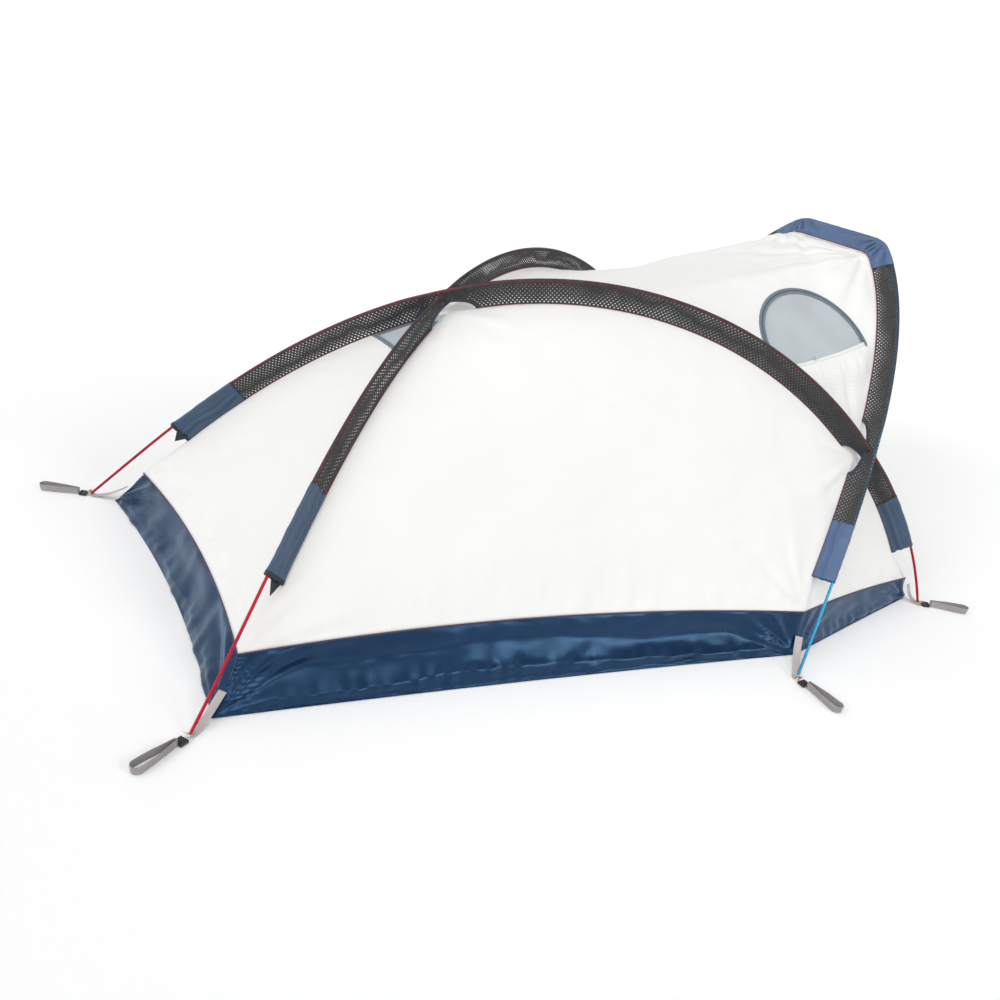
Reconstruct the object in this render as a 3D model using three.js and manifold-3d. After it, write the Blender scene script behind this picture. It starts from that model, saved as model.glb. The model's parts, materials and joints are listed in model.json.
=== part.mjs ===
// A three-pole semi-geodesic inner tent, pitched on flat ground.
// Millimetres. X runs from the foot end to the door end, Y across the tent, Z up.
// The tent is drawn from X = 0 at its foot-end pole feet, then moved so that the origin is the
// centre of its outline on the ground.
import * as THREE from "three";
import { mergeVertices } from "three/addons/utils/BufferGeometryUtils.js";
import Module from "manifold-3d";

const wasm = await Module();
wasm.setup();

// ---- Driving dimensions ----

const LENGTH = 2400; // foot-end pole feet to door-end pole feet
const FOOT_HALF = 650; // pole feet at the foot end, from the middle line
const HEAD_HALF = 740; // pole feet at the door end
const HOOP_FOOT_X = 1630;
const HOOP_FOOT_HALF = 945;
const FOOT_Z = 9; // height of a pole's axis where it passes its grommet

const POLE_RADIUS = 4.25;
const TIP_RADIUS = 3;
const TIP_REACH = 8; // how far a tip pokes through its grommet
const POLE_SIDES = 8;
const ARCH_STEPS = 44;
const HOOP_STEPS = 100; // finer, for the elbows

// Handles of the crossing poles' curve, for a pole that starts on the +Y side of the foot end.
const ARCH_HANDLES = [
  [475, 320, 610],
  [960, -310, 1540],
  [2160, -600, 820],
];
const CROSSING_SHIFT = 16; // lifts one pole's middle handle and lowers the other's

// Handles of the hoop's leg on the -Y side, and its pre-bent elbow.
const HOOP_HANDLES = [
  [2000, -695, 290],
  [2275, -555, 815],
];
const ELBOW = [2388, -190, 1093];
const ELBOW_BEND = 45; // length of each side of the elbow's bend

const SLEEVE_WIDTH = 62; // pole axis to the seam in the canopy
const SLEEVE_THICK = 2.4;
const SLEEVE_START = 3; // a sleeve's fin starts this far below its pole's surface
const SEAM_GAP = 5; // each panel stops this far short of its seam line
const CLOTH_THICK = 3;

// Distances along a pole from its foot, to the ends of the sleeves.
const SLEEVE_FROM_FOOT = 400;
const SLEEVE_FROM_HEAD = 222;
const SLEEVE_FROM_HOOP_FOOT = 325;
const HOOP_CROSSING_FROM_HEAD = 611;
const HOOP_CROSSING_FROM_FOOT = 779;
const COVER_FROM_FOOT = 1450;
const NOTCH = 45; // a sleeve stops this far from where two poles cross
const NOTCH_TAPER = { length: 90, depth: 24 }; // and narrows from its seam side before that

// Corners of the floor, on the -Y side: on the ground, and on the rim of the tub.
const BASE = { foot: [62, -600, 0], hoop: [1722, -844, 0], head: [2386, -695, 0] };
const RIM = { foot: [140, -530, 120], hoop: [1757, -805, 120], head: [2362, -690, 80] };
// How far each side's edge bows in towards the tent, and up.
const BASE_BOW = { side: [12, 0], corner: [2, 0], foot: [42, 0] };
const RIM_BOW = { side: [35, 22], corner: [12, 0], foot: [38, 6] };
const WALL_THICK = 3;
const WALL_INSET = 4.8; // level distance between a wall's faces, as the walls lean
const OUTLINE_STEPS = 7; // points along each side of the floor's outline

const VENT_START = 0.8; // share of the foot panel's height where its mesh top begins
const DOOR_HALF = 340; // half-width of the doorway, and the radius of its round top
const DOOR_SILL = 16; // sill above the rim of the floor
const DOOR_SIDE = 350; // height of the doorway's straight sides
const FLAT_HALF = 600; // half-width of the flat part of the door end, at its sill
const ZIP_WIDTH = 14;
const ZIP_THICK = 1.6;
const CLEAR = 0.4; // gap between pieces that touch on the real tent

// Window ends and top on the canopy's roof, as shares along and across it.
const WINDOW_POINTS = [
  [0.742, -0.88],
  [0.739, -0.386],
  [0.965, -0.576],
];
const WINDOW_LAP = 2; // the zip tape laps this far over the window's edge
const WINDOW_APRON = 16; // the roof is flat this far around a window, where its zip holds it
const WINDOW_FADE = 110; // and takes this far to return to its own curve
const SEAM_FADE = 0.05; // share of the roof's length and width left curved along its seams

const WEBBING = 22;
const WEBBING_THICK = 1.6;
const GROMMET = { outer: 9, inner: 4, half: 2 };
const LOOP_REACH = 165; // pole foot to the far end of a stake loop

// ---- Materials ----

const paint = (color, roughness, metalness = 0) =>
  new THREE.MeshStandardMaterial({ color, roughness, metalness });
const red = paint(0xb3203a, 0.35, 0.8);
const blue = paint(0x2f7fb5, 0.3, 0.8);
const canopyCloth = paint(0xeeece4, 0.75);
const ventMesh = paint(0x93a3ae, 0.8);
const sleeveMesh = paint(0x26282c, 0.85);
const blueNylon = paint(0x3f5c82, 0.55);
const navyFloor = paint(0x1f3a63, 0.35);
const zipTape = paint(0x5a6b7c, 0.7);
const webbing = paint(0x9a8f8f, 0.85);
const brass = paint(0xc8924e, 0.35, 0.9);
const blackPlastic = paint(0x1b1b1d, 0.5);

// ---- Helpers ----

const vec = (p) => new THREE.Vector3(p[0], p[1], p[2]);
const mirrored = (p, side) => new THREE.Vector3(p.x, p.y * side, p.z);
const mix = (a, b, share) => new THREE.Vector3().lerpVectors(a, b, share);

// A Bezier curve of any degree.
class BezierPath extends THREE.Curve {
  constructor(points) {
    super();
    this.points = points;
  }
  getPoint(t, target = new THREE.Vector3()) {
    let row = this.points;
    while (row.length > 1) row = row.slice(1).map((p, i) => mix(row[i], p, t));
    return target.copy(row[0]);
  }
}

// The stretch of a curve between two distances along it.
class Stretch extends THREE.Curve {
  constructor(curve, from, to) {
    super();
    this.curve = curve;
    this.from = from;
    this.to = to;
    this.whole = curve.getLength();
  }
  getPoint(t, target = new THREE.Vector3()) {
    const along = this.from + (this.to - this.from) * t;
    return target.copy(this.curve.getPointAt(THREE.MathUtils.clamp(along / this.whole, 0, 1)));
  }
}

// A closed solid between an outer and an inner sheet of points, each fn(u, v).
function sheetSolid(outer, inner, across, up) {
  const positions = [];
  const index = [];
  const columns = across + 1;
  const layer = columns * (up + 1);
  for (const sheet of [outer, inner]) {
    for (let j = 0; j <= up; j++) {
      for (let i = 0; i <= across; i++) positions.push(...sheet(i / across, j / up).toArray());
    }
  }
  const quad = (a, b, c, d) => index.push(a, b, c, a, c, d);
  const at = (i, j) => j * columns + i;
  for (let j = 0; j < up; j++) {
    for (let i = 0; i < across; i++) {
      quad(at(i, j), at(i + 1, j), at(i + 1, j + 1), at(i, j + 1));
      quad(layer + at(i, j), layer + at(i, j + 1), layer + at(i + 1, j + 1), layer + at(i + 1, j));
    }
  }
  const side = (a, b) => quad(b, a, a + layer, b + layer);
  for (let i = 0; i < across; i++) {
    side(at(i, 0), at(i + 1, 0));
    side(at(i + 1, up), at(i, up));
  }
  for (let j = 0; j < up; j++) {
    side(at(0, j + 1), at(0, j));
    side(at(across, j), at(across, j + 1));
  }
  return facingOut(positions, index);
}

// A geometry from points and triangles, turned round if its faces point inwards.
function facingOut(positions, index) {
  let volume = 0;
  for (let i = 0; i < index.length; i += 3) {
    const [a, b, c] = [0, 1, 2].map((k) => vec(positions.slice(index[i + k] * 3, index[i + k] * 3 + 3)));
    volume += a.dot(b.cross(c));
  }
  if (volume < 0) index.reverse();
  const geometry = new THREE.BufferGeometry();
  geometry.setAttribute("position", new THREE.Float32BufferAttribute(positions, 3));
  geometry.setIndex(index);
  return geometry;
}

// A sheet of cloth that follows a surface fn(u, v), from `lift` above it down by `thick`.
function clothSolid(surface, span, across, up, thick = CLOTH_THICK, lift = 0) {
  const middle = new THREE.Vector3(LENGTH / 2, 0, 300);
  const step = 0.004;
  const layer = (height) => (a, b) => {
    const u = THREE.MathUtils.lerp(span.u[0], span.u[1], a);
    const v = THREE.MathUtils.lerp(span.v[0], span.v[1], b);
    const point = surface(u, v);
    const du = surface(u + step, v).sub(surface(u - step, v));
    const dv = surface(u, v + step).sub(surface(u, v - step));
    const normal = du.cross(dv).normalize();
    if (normal.dot(point.clone().sub(middle)) < 0) normal.negate();
    return point.addScaledVector(normal, height);
  };
  return sheetSolid(layer(lift), layer(lift - thick), across, up);
}

function toSolid(geometry) {
  const bare = geometry.clone();
  bare.deleteAttribute("normal");
  bare.deleteAttribute("uv");
  const merged = mergeVertices(bare, 1e-3);
  return new wasm.Manifold(
    new wasm.Mesh({
      numProp: 3,
      vertProperties: merged.attributes.position.array,
      triVerts: new Uint32Array(merged.index.array),
    }),
  );
}

function toGeometry(solid) {
  const mesh = solid.getMesh();
  const geometry = new THREE.BufferGeometry();
  geometry.setAttribute("position", new THREE.BufferAttribute(new Float32Array(mesh.vertProperties), 3));
  geometry.setIndex(new THREE.BufferAttribute(new Uint32Array(mesh.triVerts), 1));
  return geometry;
}

const tent = new THREE.Group();

function place(name, geometry, material, parent = tent) {
  const mesh = new THREE.Mesh(geometry, material);
  mesh.name = name;
  parent.add(mesh);
  return mesh;
}

// ---- Pole curves ----

const archPoints = (shift) => {
  const handles = ARCH_HANDLES.map(vec);
  handles[1].z += shift;
  return [
    new THREE.Vector3(0, FOOT_HALF, FOOT_Z),
    ...handles,
    new THREE.Vector3(LENGTH, -HEAD_HALF, FOOT_Z),
  ];
};
const overCurve = new BezierPath(archPoints(CROSSING_SHIFT));
const underCurve = new BezierPath(archPoints(-CROSSING_SHIFT).map((p) => mirrored(p, -1)));
// The sleeves and the canopy hang from the mean of the two arches, and its mirror image.
const middleArch = new BezierPath(archPoints(0));
const middleMirror = new BezierPath(archPoints(0).map((p) => mirrored(p, -1)));

function hoopHalf(side) {
  const elbow = vec(ELBOW);
  const handles = HOOP_HANDLES.map(vec);
  const rise = elbow.clone().sub(handles[1]).normalize();
  const legEnd = elbow.clone().addScaledVector(rise, -ELBOW_BEND);
  const barStart = elbow.clone().add(new THREE.Vector3(0, ELBOW_BEND, 0));
  const foot = new THREE.Vector3(HOOP_FOOT_X, -HOOP_FOOT_HALF, FOOT_Z);
  return [foot, ...handles, legEnd, elbow, barStart].map((p) => mirrored(p, side));
}

const hoopCurve = new THREE.CurvePath();
{
  const near = hoopHalf(1);
  const far = hoopHalf(-1).reverse();
  hoopCurve.add(new THREE.CubicBezierCurve3(near[0], near[1], near[2], near[3]));
  hoopCurve.add(new THREE.QuadraticBezierCurve3(near[3], near[4], near[5]));
  hoopCurve.add(new THREE.LineCurve3(near[5], far[0]));
  hoopCurve.add(new THREE.QuadraticBezierCurve3(far[0], far[1], far[2]));
  hoopCurve.add(new THREE.CubicBezierCurve3(far[2], far[3], far[4], far[5]));
}
const archLength = middleArch.getLength();
const hoopLength = hoopCurve.getLength();

// ---- Poles ----

// A tube with a narrower tip at each end, which passes through the grommet.
function poleGeometry(curve, steps) {
  const length = curve.getLength();
  const shoulder = GROMMET.half + CLEAR;
  const section = new THREE.Shape().absarc(0, 0, POLE_RADIUS, 0, Math.PI * 2);
  const tube = new THREE.ExtrudeGeometry(section, {
    steps,
    curveSegments: POLE_SIDES / 2,
    extrudePath: new Stretch(curve, shoulder, length - shoulder),
  });
  let solid = toSolid(tube);
  for (const [share, sign] of [[0, 1], [1, -1]]) {
    const inward = curve.getTangentAt(share).multiplyScalar(sign);
    const tip = new THREE.CylinderGeometry(TIP_RADIUS, TIP_RADIUS * 0.8, TIP_REACH * 2.5, POLE_SIDES);
    tip.applyQuaternion(new THREE.Quaternion().setFromUnitVectors(new THREE.Vector3(0, 1, 0), inward));
    const middle = curve.getPointAt(share).addScaledVector(inward, TIP_REACH * 0.25);
    tip.translate(middle.x, middle.y, middle.z);
    solid = solid.add(toSolid(tip));
  }
  return toGeometry(solid);
}

place("pole_red_over", poleGeometry(overCurve, ARCH_STEPS), red);
place("pole_red_under", poleGeometry(underCurve, ARCH_STEPS), red);
place("pole_blue_hoop", poleGeometry(hoopCurve, HOOP_STEPS), blue);

// ---- Seam lines, where the sleeves meet the canopy ----

const ARCH_FOCUS = new THREE.Vector3(1250, -70, 100);
const HOOP_FOCUS = new THREE.Vector3(1500, 0, 300);

// Unit vector from a pole towards its seam, square to the pole.
function sleeveDirection(curve, distance, focus) {
  const share = THREE.MathUtils.clamp(distance / curve.getLength(), 0, 1);
  const point = curve.getPointAt(share);
  const tangent = curve.getTangentAt(share);
  const towards = focus.clone().sub(point);
  return towards.addScaledVector(tangent, -towards.dot(tangent)).normalize();
}

function offPole(curve, distance, focus, width) {
  const share = THREE.MathUtils.clamp(distance / curve.getLength(), 0, 1);
  return curve.getPointAt(share).addScaledVector(sleeveDirection(curve, distance, focus), width);
}

const archSeam = (distance) => offPole(middleArch, distance, ARCH_FOCUS, SLEEVE_WIDTH);
const hoopSeam = (distance) => offPole(hoopCurve, distance, HOOP_FOCUS, SLEEVE_WIDTH);

// Distance along the arch at which its seam crosses the tent's middle plane.
function seamCrossing() {
  let low = 0;
  let high = archLength / 2;
  for (let i = 0; i < 40; i++) {
    const middle = (low + high) / 2;
    if (archSeam(middle).y > 0) low = middle;
    else high = middle;
  }
  return low;
}
const crossing = seamCrossing();
const apex = archSeam(crossing).setY(0);
const shoulderJoin = mix(
  archSeam(archLength - HOOP_CROSSING_FROM_HEAD),
  hoopSeam(HOOP_CROSSING_FROM_FOOT),
  0.5,
);
const elbowDistance = hoopCurve.curves[0].getLength() + hoopCurve.curves[1].getLength() / 2;
const elbowSeam = hoopSeam(elbowDistance);

// A smooth edge through a start, evenly spaced seam points and an end.
function edgeAlong(start, seam, from, to, end, count = 9) {
  const inner = Array.from({ length: count }, (_, i) => seam(from + ((to - from) * i) / (count - 1)));
  return new THREE.CatmullRomCurve3([start, ...inner, end], false, "centripetal");
}

const rim = Object.fromEntries(Object.entries(RIM).map(([key, p]) => [key, vec(p)]));
const base = Object.fromEntries(Object.entries(BASE).map(([key, p]) => [key, vec(p)]));
const farRim = (key) => mirrored(rim[key], -1);

// Edges on the -Y side of the tent; each runs upwards or towards the door end.
const footSeam = edgeAlong(
  rim.foot,
  (d) => mirrored(archSeam(d), -1),
  SLEEVE_FROM_FOOT,
  crossing - NOTCH,
  apex,
);
const roofSeam = edgeAlong(
  apex,
  archSeam,
  crossing + NOTCH,
  archLength - HOOP_CROSSING_FROM_HEAD - NOTCH * 2,
  shoulderJoin,
);
const headSeam = edgeAlong(
  rim.head,
  archSeam,
  archLength - SLEEVE_FROM_HEAD,
  archLength - HOOP_CROSSING_FROM_HEAD + NOTCH * 2,
  shoulderJoin,
  5,
);
const hoopLowSeam = edgeAlong(
  rim.hoop,
  hoopSeam,
  SLEEVE_FROM_HOOP_FOOT,
  HOOP_CROSSING_FROM_FOOT - NOTCH * 2,
  shoulderJoin,
  5,
);
const hoopHighSeam = edgeAlong(
  shoulderJoin,
  hoopSeam,
  HOOP_CROSSING_FROM_FOOT + NOTCH * 2,
  elbowDistance - ELBOW_BEND,
  elbowSeam,
  6,
);

// A rim edge between two corners, drawn in towards the tent and up by the pull of the canopy.
function rimEdge(start, end, bow, rise) {
  const along = end.clone().sub(start).setZ(0).normalize();
  const inward = new THREE.Vector3(-along.y, along.x, 0);
  const handle = mix(start, end, 0.5).addScaledVector(inward, bow * 2);
  handle.z += rise * 2;
  return new THREE.QuadraticBezierCurve3(start, handle, end);
}
const sideRim = rimEdge(rim.foot, rim.hoop, ...RIM_BOW.side);
const cornerRim = rimEdge(rim.hoop, rim.head, ...RIM_BOW.corner);
const footRim = rimEdge(farRim("foot"), rim.foot, ...RIM_BOW.foot);

// ---- Canopy surfaces, each a function of (u, v) from 0 to 1 ----

// A four-sided patch between curves: left and right run up, bottom and top run across.
function coons(left, right, bottom, top) {
  const corner = [left(0), right(0), left(1), right(1)];
  return (u, v) => {
    const point = mix(left(v), right(v), u).add(mix(bottom(u), top(u), v));
    return point.sub(mix(mix(corner[0], corner[1], u), mix(corner[2], corner[3], u), v));
  };
}

const on = (curve) => (t) => curve.getPointAt(THREE.MathUtils.clamp(t, 0, 1));

const footSurface = coons(
  (v) => mirrored(on(footSeam)(v), -1),
  on(footSeam),
  on(footRim),
  () => apex.clone(),
);
const sideSurface = coons(on(footSeam), on(hoopLowSeam), on(sideRim), on(roofSeam));
const cornerSurface = coons(on(hoopLowSeam), on(headSeam), on(cornerRim), () => shoulderJoin.clone());

// The hoop's seam from the -Y side over to the +Y side, v from -1 to 1.
const highLength = hoopHighSeam.getLength();
const halfSpan = highLength - elbowSeam.y;
function hoopTop(v) {
  const distance = (1 - Math.abs(v)) * halfSpan;
  const side = v > 0 ? -1 : 1;
  if (distance < highLength) return mirrored(on(hoopHighSeam)(distance / highLength), side);
  return new THREE.Vector3(elbowSeam.x, (elbowSeam.y + distance - highLength) * side, elbowSeam.z);
}

// The roof: a straight ridge from the crossing to the hoop's top, and the hoop's own outline
// fading to a point at the crossing.
const ROOF_SAG = 14;
function roofSurface(u, w) {
  const v = w * 2 - 1;
  const edge = on(roofSeam)(u);
  const top = hoopTop(THREE.MathUtils.clamp(v, -1, 1));
  const crown = hoopTop(0);
  const slope = (crown.z - apex.z) / (crown.x - apex.x);
  const rise = crown.z - shoulderJoin.z;
  const reach = crown.x - shoulderJoin.x;
  const growth = (apex.z - edge.z + slope * (edge.x - apex.x)) / (rise - slope * reach);
  const sag = ROOF_SAG * Math.sin(Math.PI * THREE.MathUtils.clamp(u, 0, 1)) * (1 - v * v);
  return new THREE.Vector3(
    edge.x + growth * (top.x - shoulderJoin.x),
    -v * edge.y + (edge.y / shoulderJoin.y) * (top.y + v * shoulderJoin.y),
    edge.z + growth * (top.z - shoulderJoin.z) - sag,
  );
}

// The flat middle of the door end, and the wing from its edge out to the seams.
const flatTop = elbowSeam.clone();
const flatFoot = new THREE.Vector3(rim.head.x, -FLAT_HALF, rim.head.z);
const wingOuter = new THREE.CurvePath();
wingOuter.add(headSeam);
wingOuter.add(hoopHighSeam);
const wingSurface = coons(
  on(wingOuter),
  (v) => mix(flatFoot, flatTop, v),
  (u) => mix(rim.head, flatFoot, u),
  () => flatTop.clone(),
);

// ---- Canopy panels ----

const farSide = new THREE.Group(); // mirror image of the -Y side
farSide.scale.y = -1;
tent.add(farSide);

function placePair(name, geometry, material) {
  place(name + "_near", geometry, material);
  place(name + "_far", geometry, material, farSide);
}

const footSpan = { u: [0.012, 0.988], v: [0.008, VENT_START - 0.002] };
place("foot_panel", clothSolid(footSurface, footSpan, 10, 8), canopyCloth);
const ventSpan = { u: [0.08, 0.92], v: [VENT_START + 0.002, 0.93] };
place("foot_vent", clothSolid(footSurface, ventSpan, 4, 3), ventMesh);

const sideSpan = { u: [0.004, 0.996], v: [0.008, 0.992] };
placePair("side_panel", clothSolid(sideSurface, sideSpan, 12, 8), canopyCloth);
const cornerSpan = { u: [0.012, 0.988], v: [0.012, 0.95] };
placePair("corner_panel", clothSolid(cornerSurface, cornerSpan, 5, 6), canopyCloth);
const wingSpan = { u: [0.02, 0.985], v: [0.008, 0.97] };
placePair("door_wing", clothSolid(wingSurface, wingSpan, 5, 12), canopyCloth);

// ---- Roof and its two windows ----

// The circle through a window's two ends and its top, as a frame: X along its sill, Z out.
function windowFrame() {
  const [a, b, c] = WINDOW_POINTS.map(([u, v]) => roofSurface(u, (v + 1) / 2));
  const ab = b.clone().sub(a);
  const ac = c.clone().sub(a);
  const cross = ab.clone().cross(ac);
  const centre = cross.clone().cross(ab).multiplyScalar(ac.lengthSq());
  centre.add(ac.clone().cross(cross).multiplyScalar(ab.lengthSq()));
  centre.divideScalar(2 * cross.lengthSq()).add(a);
  const out = cross.clone().normalize();
  if (out.z < 0) out.negate();
  const along = ac.clone().normalize();
  const matrix = new THREE.Matrix4().makeBasis(along, out.clone().cross(along), out);
  matrix.setPosition(centre);
  const inverse = matrix.clone().invert();
  const sill = a.clone().applyMatrix4(inverse).y;
  return { matrix, inverse, out, sill, radius: centre.distanceTo(a) };
}
const pane = windowFrame();

// The roof with a flat apron around each window.
function flattenedRoof(u, w) {
  const point = roofSurface(u, w);
  const side = w > 0.5 ? -1 : 1;
  const local = mirrored(point, side).applyMatrix4(pane.inverse);
  const gap = Math.max(Math.hypot(local.x, local.y) - pane.radius, pane.sill - local.y);
  const { smoothstep } = THREE.MathUtils;
  const flat = 1 - smoothstep(gap, WINDOW_APRON, WINDOW_APRON + WINDOW_FADE);
  const inside = smoothstep(1 - u, 0, SEAM_FADE) * smoothstep(Math.min(w, 1 - w), 0, SEAM_FADE);
  return point.addScaledVector(mirrored(pane.out, side), -local.z * flat * inside);
}

// The window's D: the arc over its top and the straight sill, with its edge moved by `grow`.
function paneShape(grow) {
  const radius = pane.radius + grow;
  const from = Math.asin((pane.sill - grow) / radius);
  return new THREE.Shape().absarc(0, 0, radius, from, Math.PI - from);
}

function panePrism(shape, depth, lift) {
  const settings = { depth, bevelEnabled: false, curveSegments: 12 };
  const geometry = new THREE.ExtrudeGeometry(shape, settings).translate(0, 0, lift);
  return geometry.applyMatrix4(pane.matrix);
}

function arcBand(inner, outer) {
  const from = Math.asin(pane.sill / pane.radius);
  const shape = new THREE.Shape().absarc(0, 0, outer, from, Math.PI - from);
  return shape.absarc(0, 0, inner, Math.PI - from, from, true);
}

function mirrorSolid(solid) {
  const geometry = toGeometry(solid).applyMatrix4(new THREE.Matrix4().makeScale(1, -1, 1));
  geometry.index.array.reverse();
  return toSolid(geometry);
}

const CUT_DEPTH = 120;
const holeShape = paneShape(CLEAR - WINDOW_LAP);
const paneHole = toSolid(panePrism(holeShape, CUT_DEPTH, -CUT_DEPTH / 2));
const aboveApron = toSolid(panePrism(paneShape(WINDOW_APRON), CUT_DEPTH, 0));
const paneCut = paneHole.add(aboveApron);
const roofSpan = { u: [0.02, 0.994], v: [0.006, 0.994] };
const roofWhole = toSolid(clothSolid(flattenedRoof, roofSpan, 14, 20));
const roofCut = roofWhole.subtract(paneCut).subtract(mirrorSolid(paneCut));
// The cuts free a crumb of cloth beside a seam, so only the panel itself is kept.
const [roofBody] = roofCut.decompose().sort((a, b) => b.volume() - a.volume());
place("roof_panel", toGeometry(roofBody), canopyCloth);

const meshPane = panePrism(paneShape(-WINDOW_LAP), CLOTH_THICK, -CLOTH_THICK);
placePair("window_mesh", meshPane, ventMesh);
const tapeInner = pane.radius - WINDOW_LAP;
const tapeBand = arcBand(tapeInner, tapeInner + ZIP_WIDTH);
placePair("window_zip", panePrism(tapeBand, ZIP_THICK, CLEAR), zipTape);

// A zip slider and its pull, flat, with its head at the origin and its pull towards -Y.
const SLIDER = { half: 5, head: 12, pull: 26, pullHalf: 2.5, thick: 3.5 };
function sliderGeometry(lift) {
  const shape = new THREE.Shape();
  shape.moveTo(-SLIDER.half, SLIDER.head / 2);
  shape.lineTo(-SLIDER.half, -SLIDER.head / 2);
  shape.lineTo(-SLIDER.pullHalf, -SLIDER.head / 2);
  shape.lineTo(-SLIDER.pullHalf, -SLIDER.pull);
  shape.lineTo(SLIDER.pullHalf, -SLIDER.pull);
  shape.lineTo(SLIDER.pullHalf, -SLIDER.head / 2);
  shape.lineTo(SLIDER.half, -SLIDER.head / 2);
  shape.lineTo(SLIDER.half, SLIDER.head / 2);
  const geometry = new THREE.ExtrudeGeometry(shape, { depth: SLIDER.thick, bevelEnabled: false });
  return geometry.translate(0, 0, lift);
}

const SLIDER_LIFT = CLEAR * 2 + ZIP_THICK;
const SLIDER_START = 0.06; // radians from the window's door-end corner
const paneSlider = sliderGeometry(SLIDER_LIFT).translate(tapeInner + ZIP_WIDTH / 2, 0, 0);
paneSlider.rotateZ(Math.asin(pane.sill / pane.radius) + SLIDER_START);
placePair("window_slider", paneSlider.applyMatrix4(pane.matrix), blackPlastic);

// ---- Door end: a flat panel with a round-topped doorway ----

const doorUp = flatTop.clone().sub(flatFoot).setY(0);
const flatHeight = doorUp.length();
doorUp.normalize();
const doorAcross = new THREE.Vector3(0, 1, 0);
const doorOut = doorAcross.clone().cross(doorUp);
const doorMatrix = new THREE.Matrix4().makeBasis(doorAcross, doorUp, doorOut);
doorMatrix.setPosition(flatFoot.x, 0, flatFoot.z);

// The doorway's outline, moved out by `grow`; its sill stays level.
function doorShape(grow) {
  const half = DOOR_HALF + grow;
  const top = DOOR_SILL + DOOR_SIDE;
  const shape = new THREE.Shape();
  shape.moveTo(-half, DOOR_SILL - grow);
  shape.lineTo(half, DOOR_SILL - grow);
  shape.absarc(0, top, half, 0, Math.PI);
  return shape;
}

function flatPiece(shape, thick, lift) {
  const settings = { depth: thick, bevelEnabled: false, curveSegments: 16 };
  const geometry = new THREE.ExtrudeGeometry(shape, settings).translate(0, 0, lift - thick);
  return geometry.applyMatrix4(doorMatrix);
}

const flatShape = new THREE.Shape();
const flatTopHalf = -flatTop.y - SEAM_GAP;
flatShape.moveTo(-FLAT_HALF + SEAM_GAP, SEAM_GAP);
flatShape.lineTo(FLAT_HALF - SEAM_GAP, SEAM_GAP);
flatShape.lineTo(flatTopHalf, flatHeight - SEAM_GAP);
flatShape.lineTo(-flatTopHalf, flatHeight - SEAM_GAP);
flatShape.holes.push(new THREE.Path(doorShape(CLEAR).getPoints(16)));
place("door_end_panel", flatPiece(flatShape, CLOTH_THICK, 0), canopyCloth);
place("door_flap", flatPiece(doorShape(0), CLOTH_THICK, 0), canopyCloth);

const zipShape = new THREE.Shape();
const zipInner = DOOR_HALF + CLEAR;
const zipOuter = zipInner + ZIP_WIDTH;
const zipTop = DOOR_SILL + DOOR_SIDE;
zipShape.moveTo(zipInner, DOOR_SILL);
zipShape.lineTo(zipOuter, DOOR_SILL);
zipShape.absarc(0, zipTop, zipOuter, 0, Math.PI);
zipShape.lineTo(-zipOuter, DOOR_SILL);
zipShape.lineTo(-zipInner, DOOR_SILL);
zipShape.absarc(0, zipTop, zipInner, Math.PI, 0, true);
place("door_zip", flatPiece(zipShape, ZIP_THICK, CLEAR + ZIP_THICK), zipTape);

const doorSlider = sliderGeometry(SLIDER_LIFT);
doorSlider.translate(-DOOR_HALF, zipTop, 0);
place("door_slider", doorSlider.applyMatrix4(doorMatrix), blackPlastic);

// ---- Floor: a tub with raised walls ----

function floorLoop(corner, edges) {
  const far = (key) => mirrored(corner[key], -1);
  const sides = [
    [corner.foot, corner.hoop, edges.side],
    [corner.hoop, corner.head, edges.corner],
    [corner.head, far("head"), [0, 0]],
    [far("head"), far("hoop"), edges.corner],
    [far("hoop"), far("foot"), edges.side],
    [far("foot"), corner.foot, edges.foot],
  ];
  return sides.flatMap(([start, end, [bow, rise]]) => {
    const edge = rimEdge(start, end, bow, rise);
    return Array.from({ length: OUTLINE_STEPS }, (_, i) => edge.getPointAt(i / OUTLINE_STEPS));
  });
}

function tubGeometry() {
  const centre = new THREE.Vector3(LENGTH / 2, 0, 0);
  const inset = (loop, i, z) => {
    const before = loop[(i + loop.length - 1) % loop.length];
    const along = loop[(i + 1) % loop.length].clone().sub(before).setZ(0).normalize();
    const inward = new THREE.Vector3(-along.y, along.x, 0);
    return loop[i].clone().addScaledVector(inward, WALL_INSET).setZ(z);
  };
  const ground = floorLoop(base, BASE_BOW);
  const rimLoop = floorLoop(rim, RIM_BOW);
  const rings = [
    ground,
    rimLoop,
    rimLoop.map((p, i) => inset(rimLoop, i, p.z)),
    ground.map((_, i) => inset(ground, i, WALL_THICK)),
  ];
  const count = ground.length;
  const positions = rings.flat().flatMap((p) => p.toArray());
  positions.push(...centre.toArray(), ...centre.clone().setZ(WALL_THICK).toArray());
  const index = [];
  for (let i = 0; i < count; i++) {
    const next = (i + 1) % count;
    for (let ring = 0; ring < rings.length - 1; ring++) {
      const [a, b] = [ring * count + i, ring * count + next];
      index.push(a, b, b + count, a, b + count, a + count);
    }
    const top = (rings.length - 1) * count;
    index.push(next, i, rings.length * count);
    index.push(top + i, top + next, rings.length * count + 1);
  }
  return facingOut(positions, index);
}
place("floor_tub", tubGeometry(), navyFloor);

// ---- Sleeves: fins between each pole and its seam ----

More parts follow.
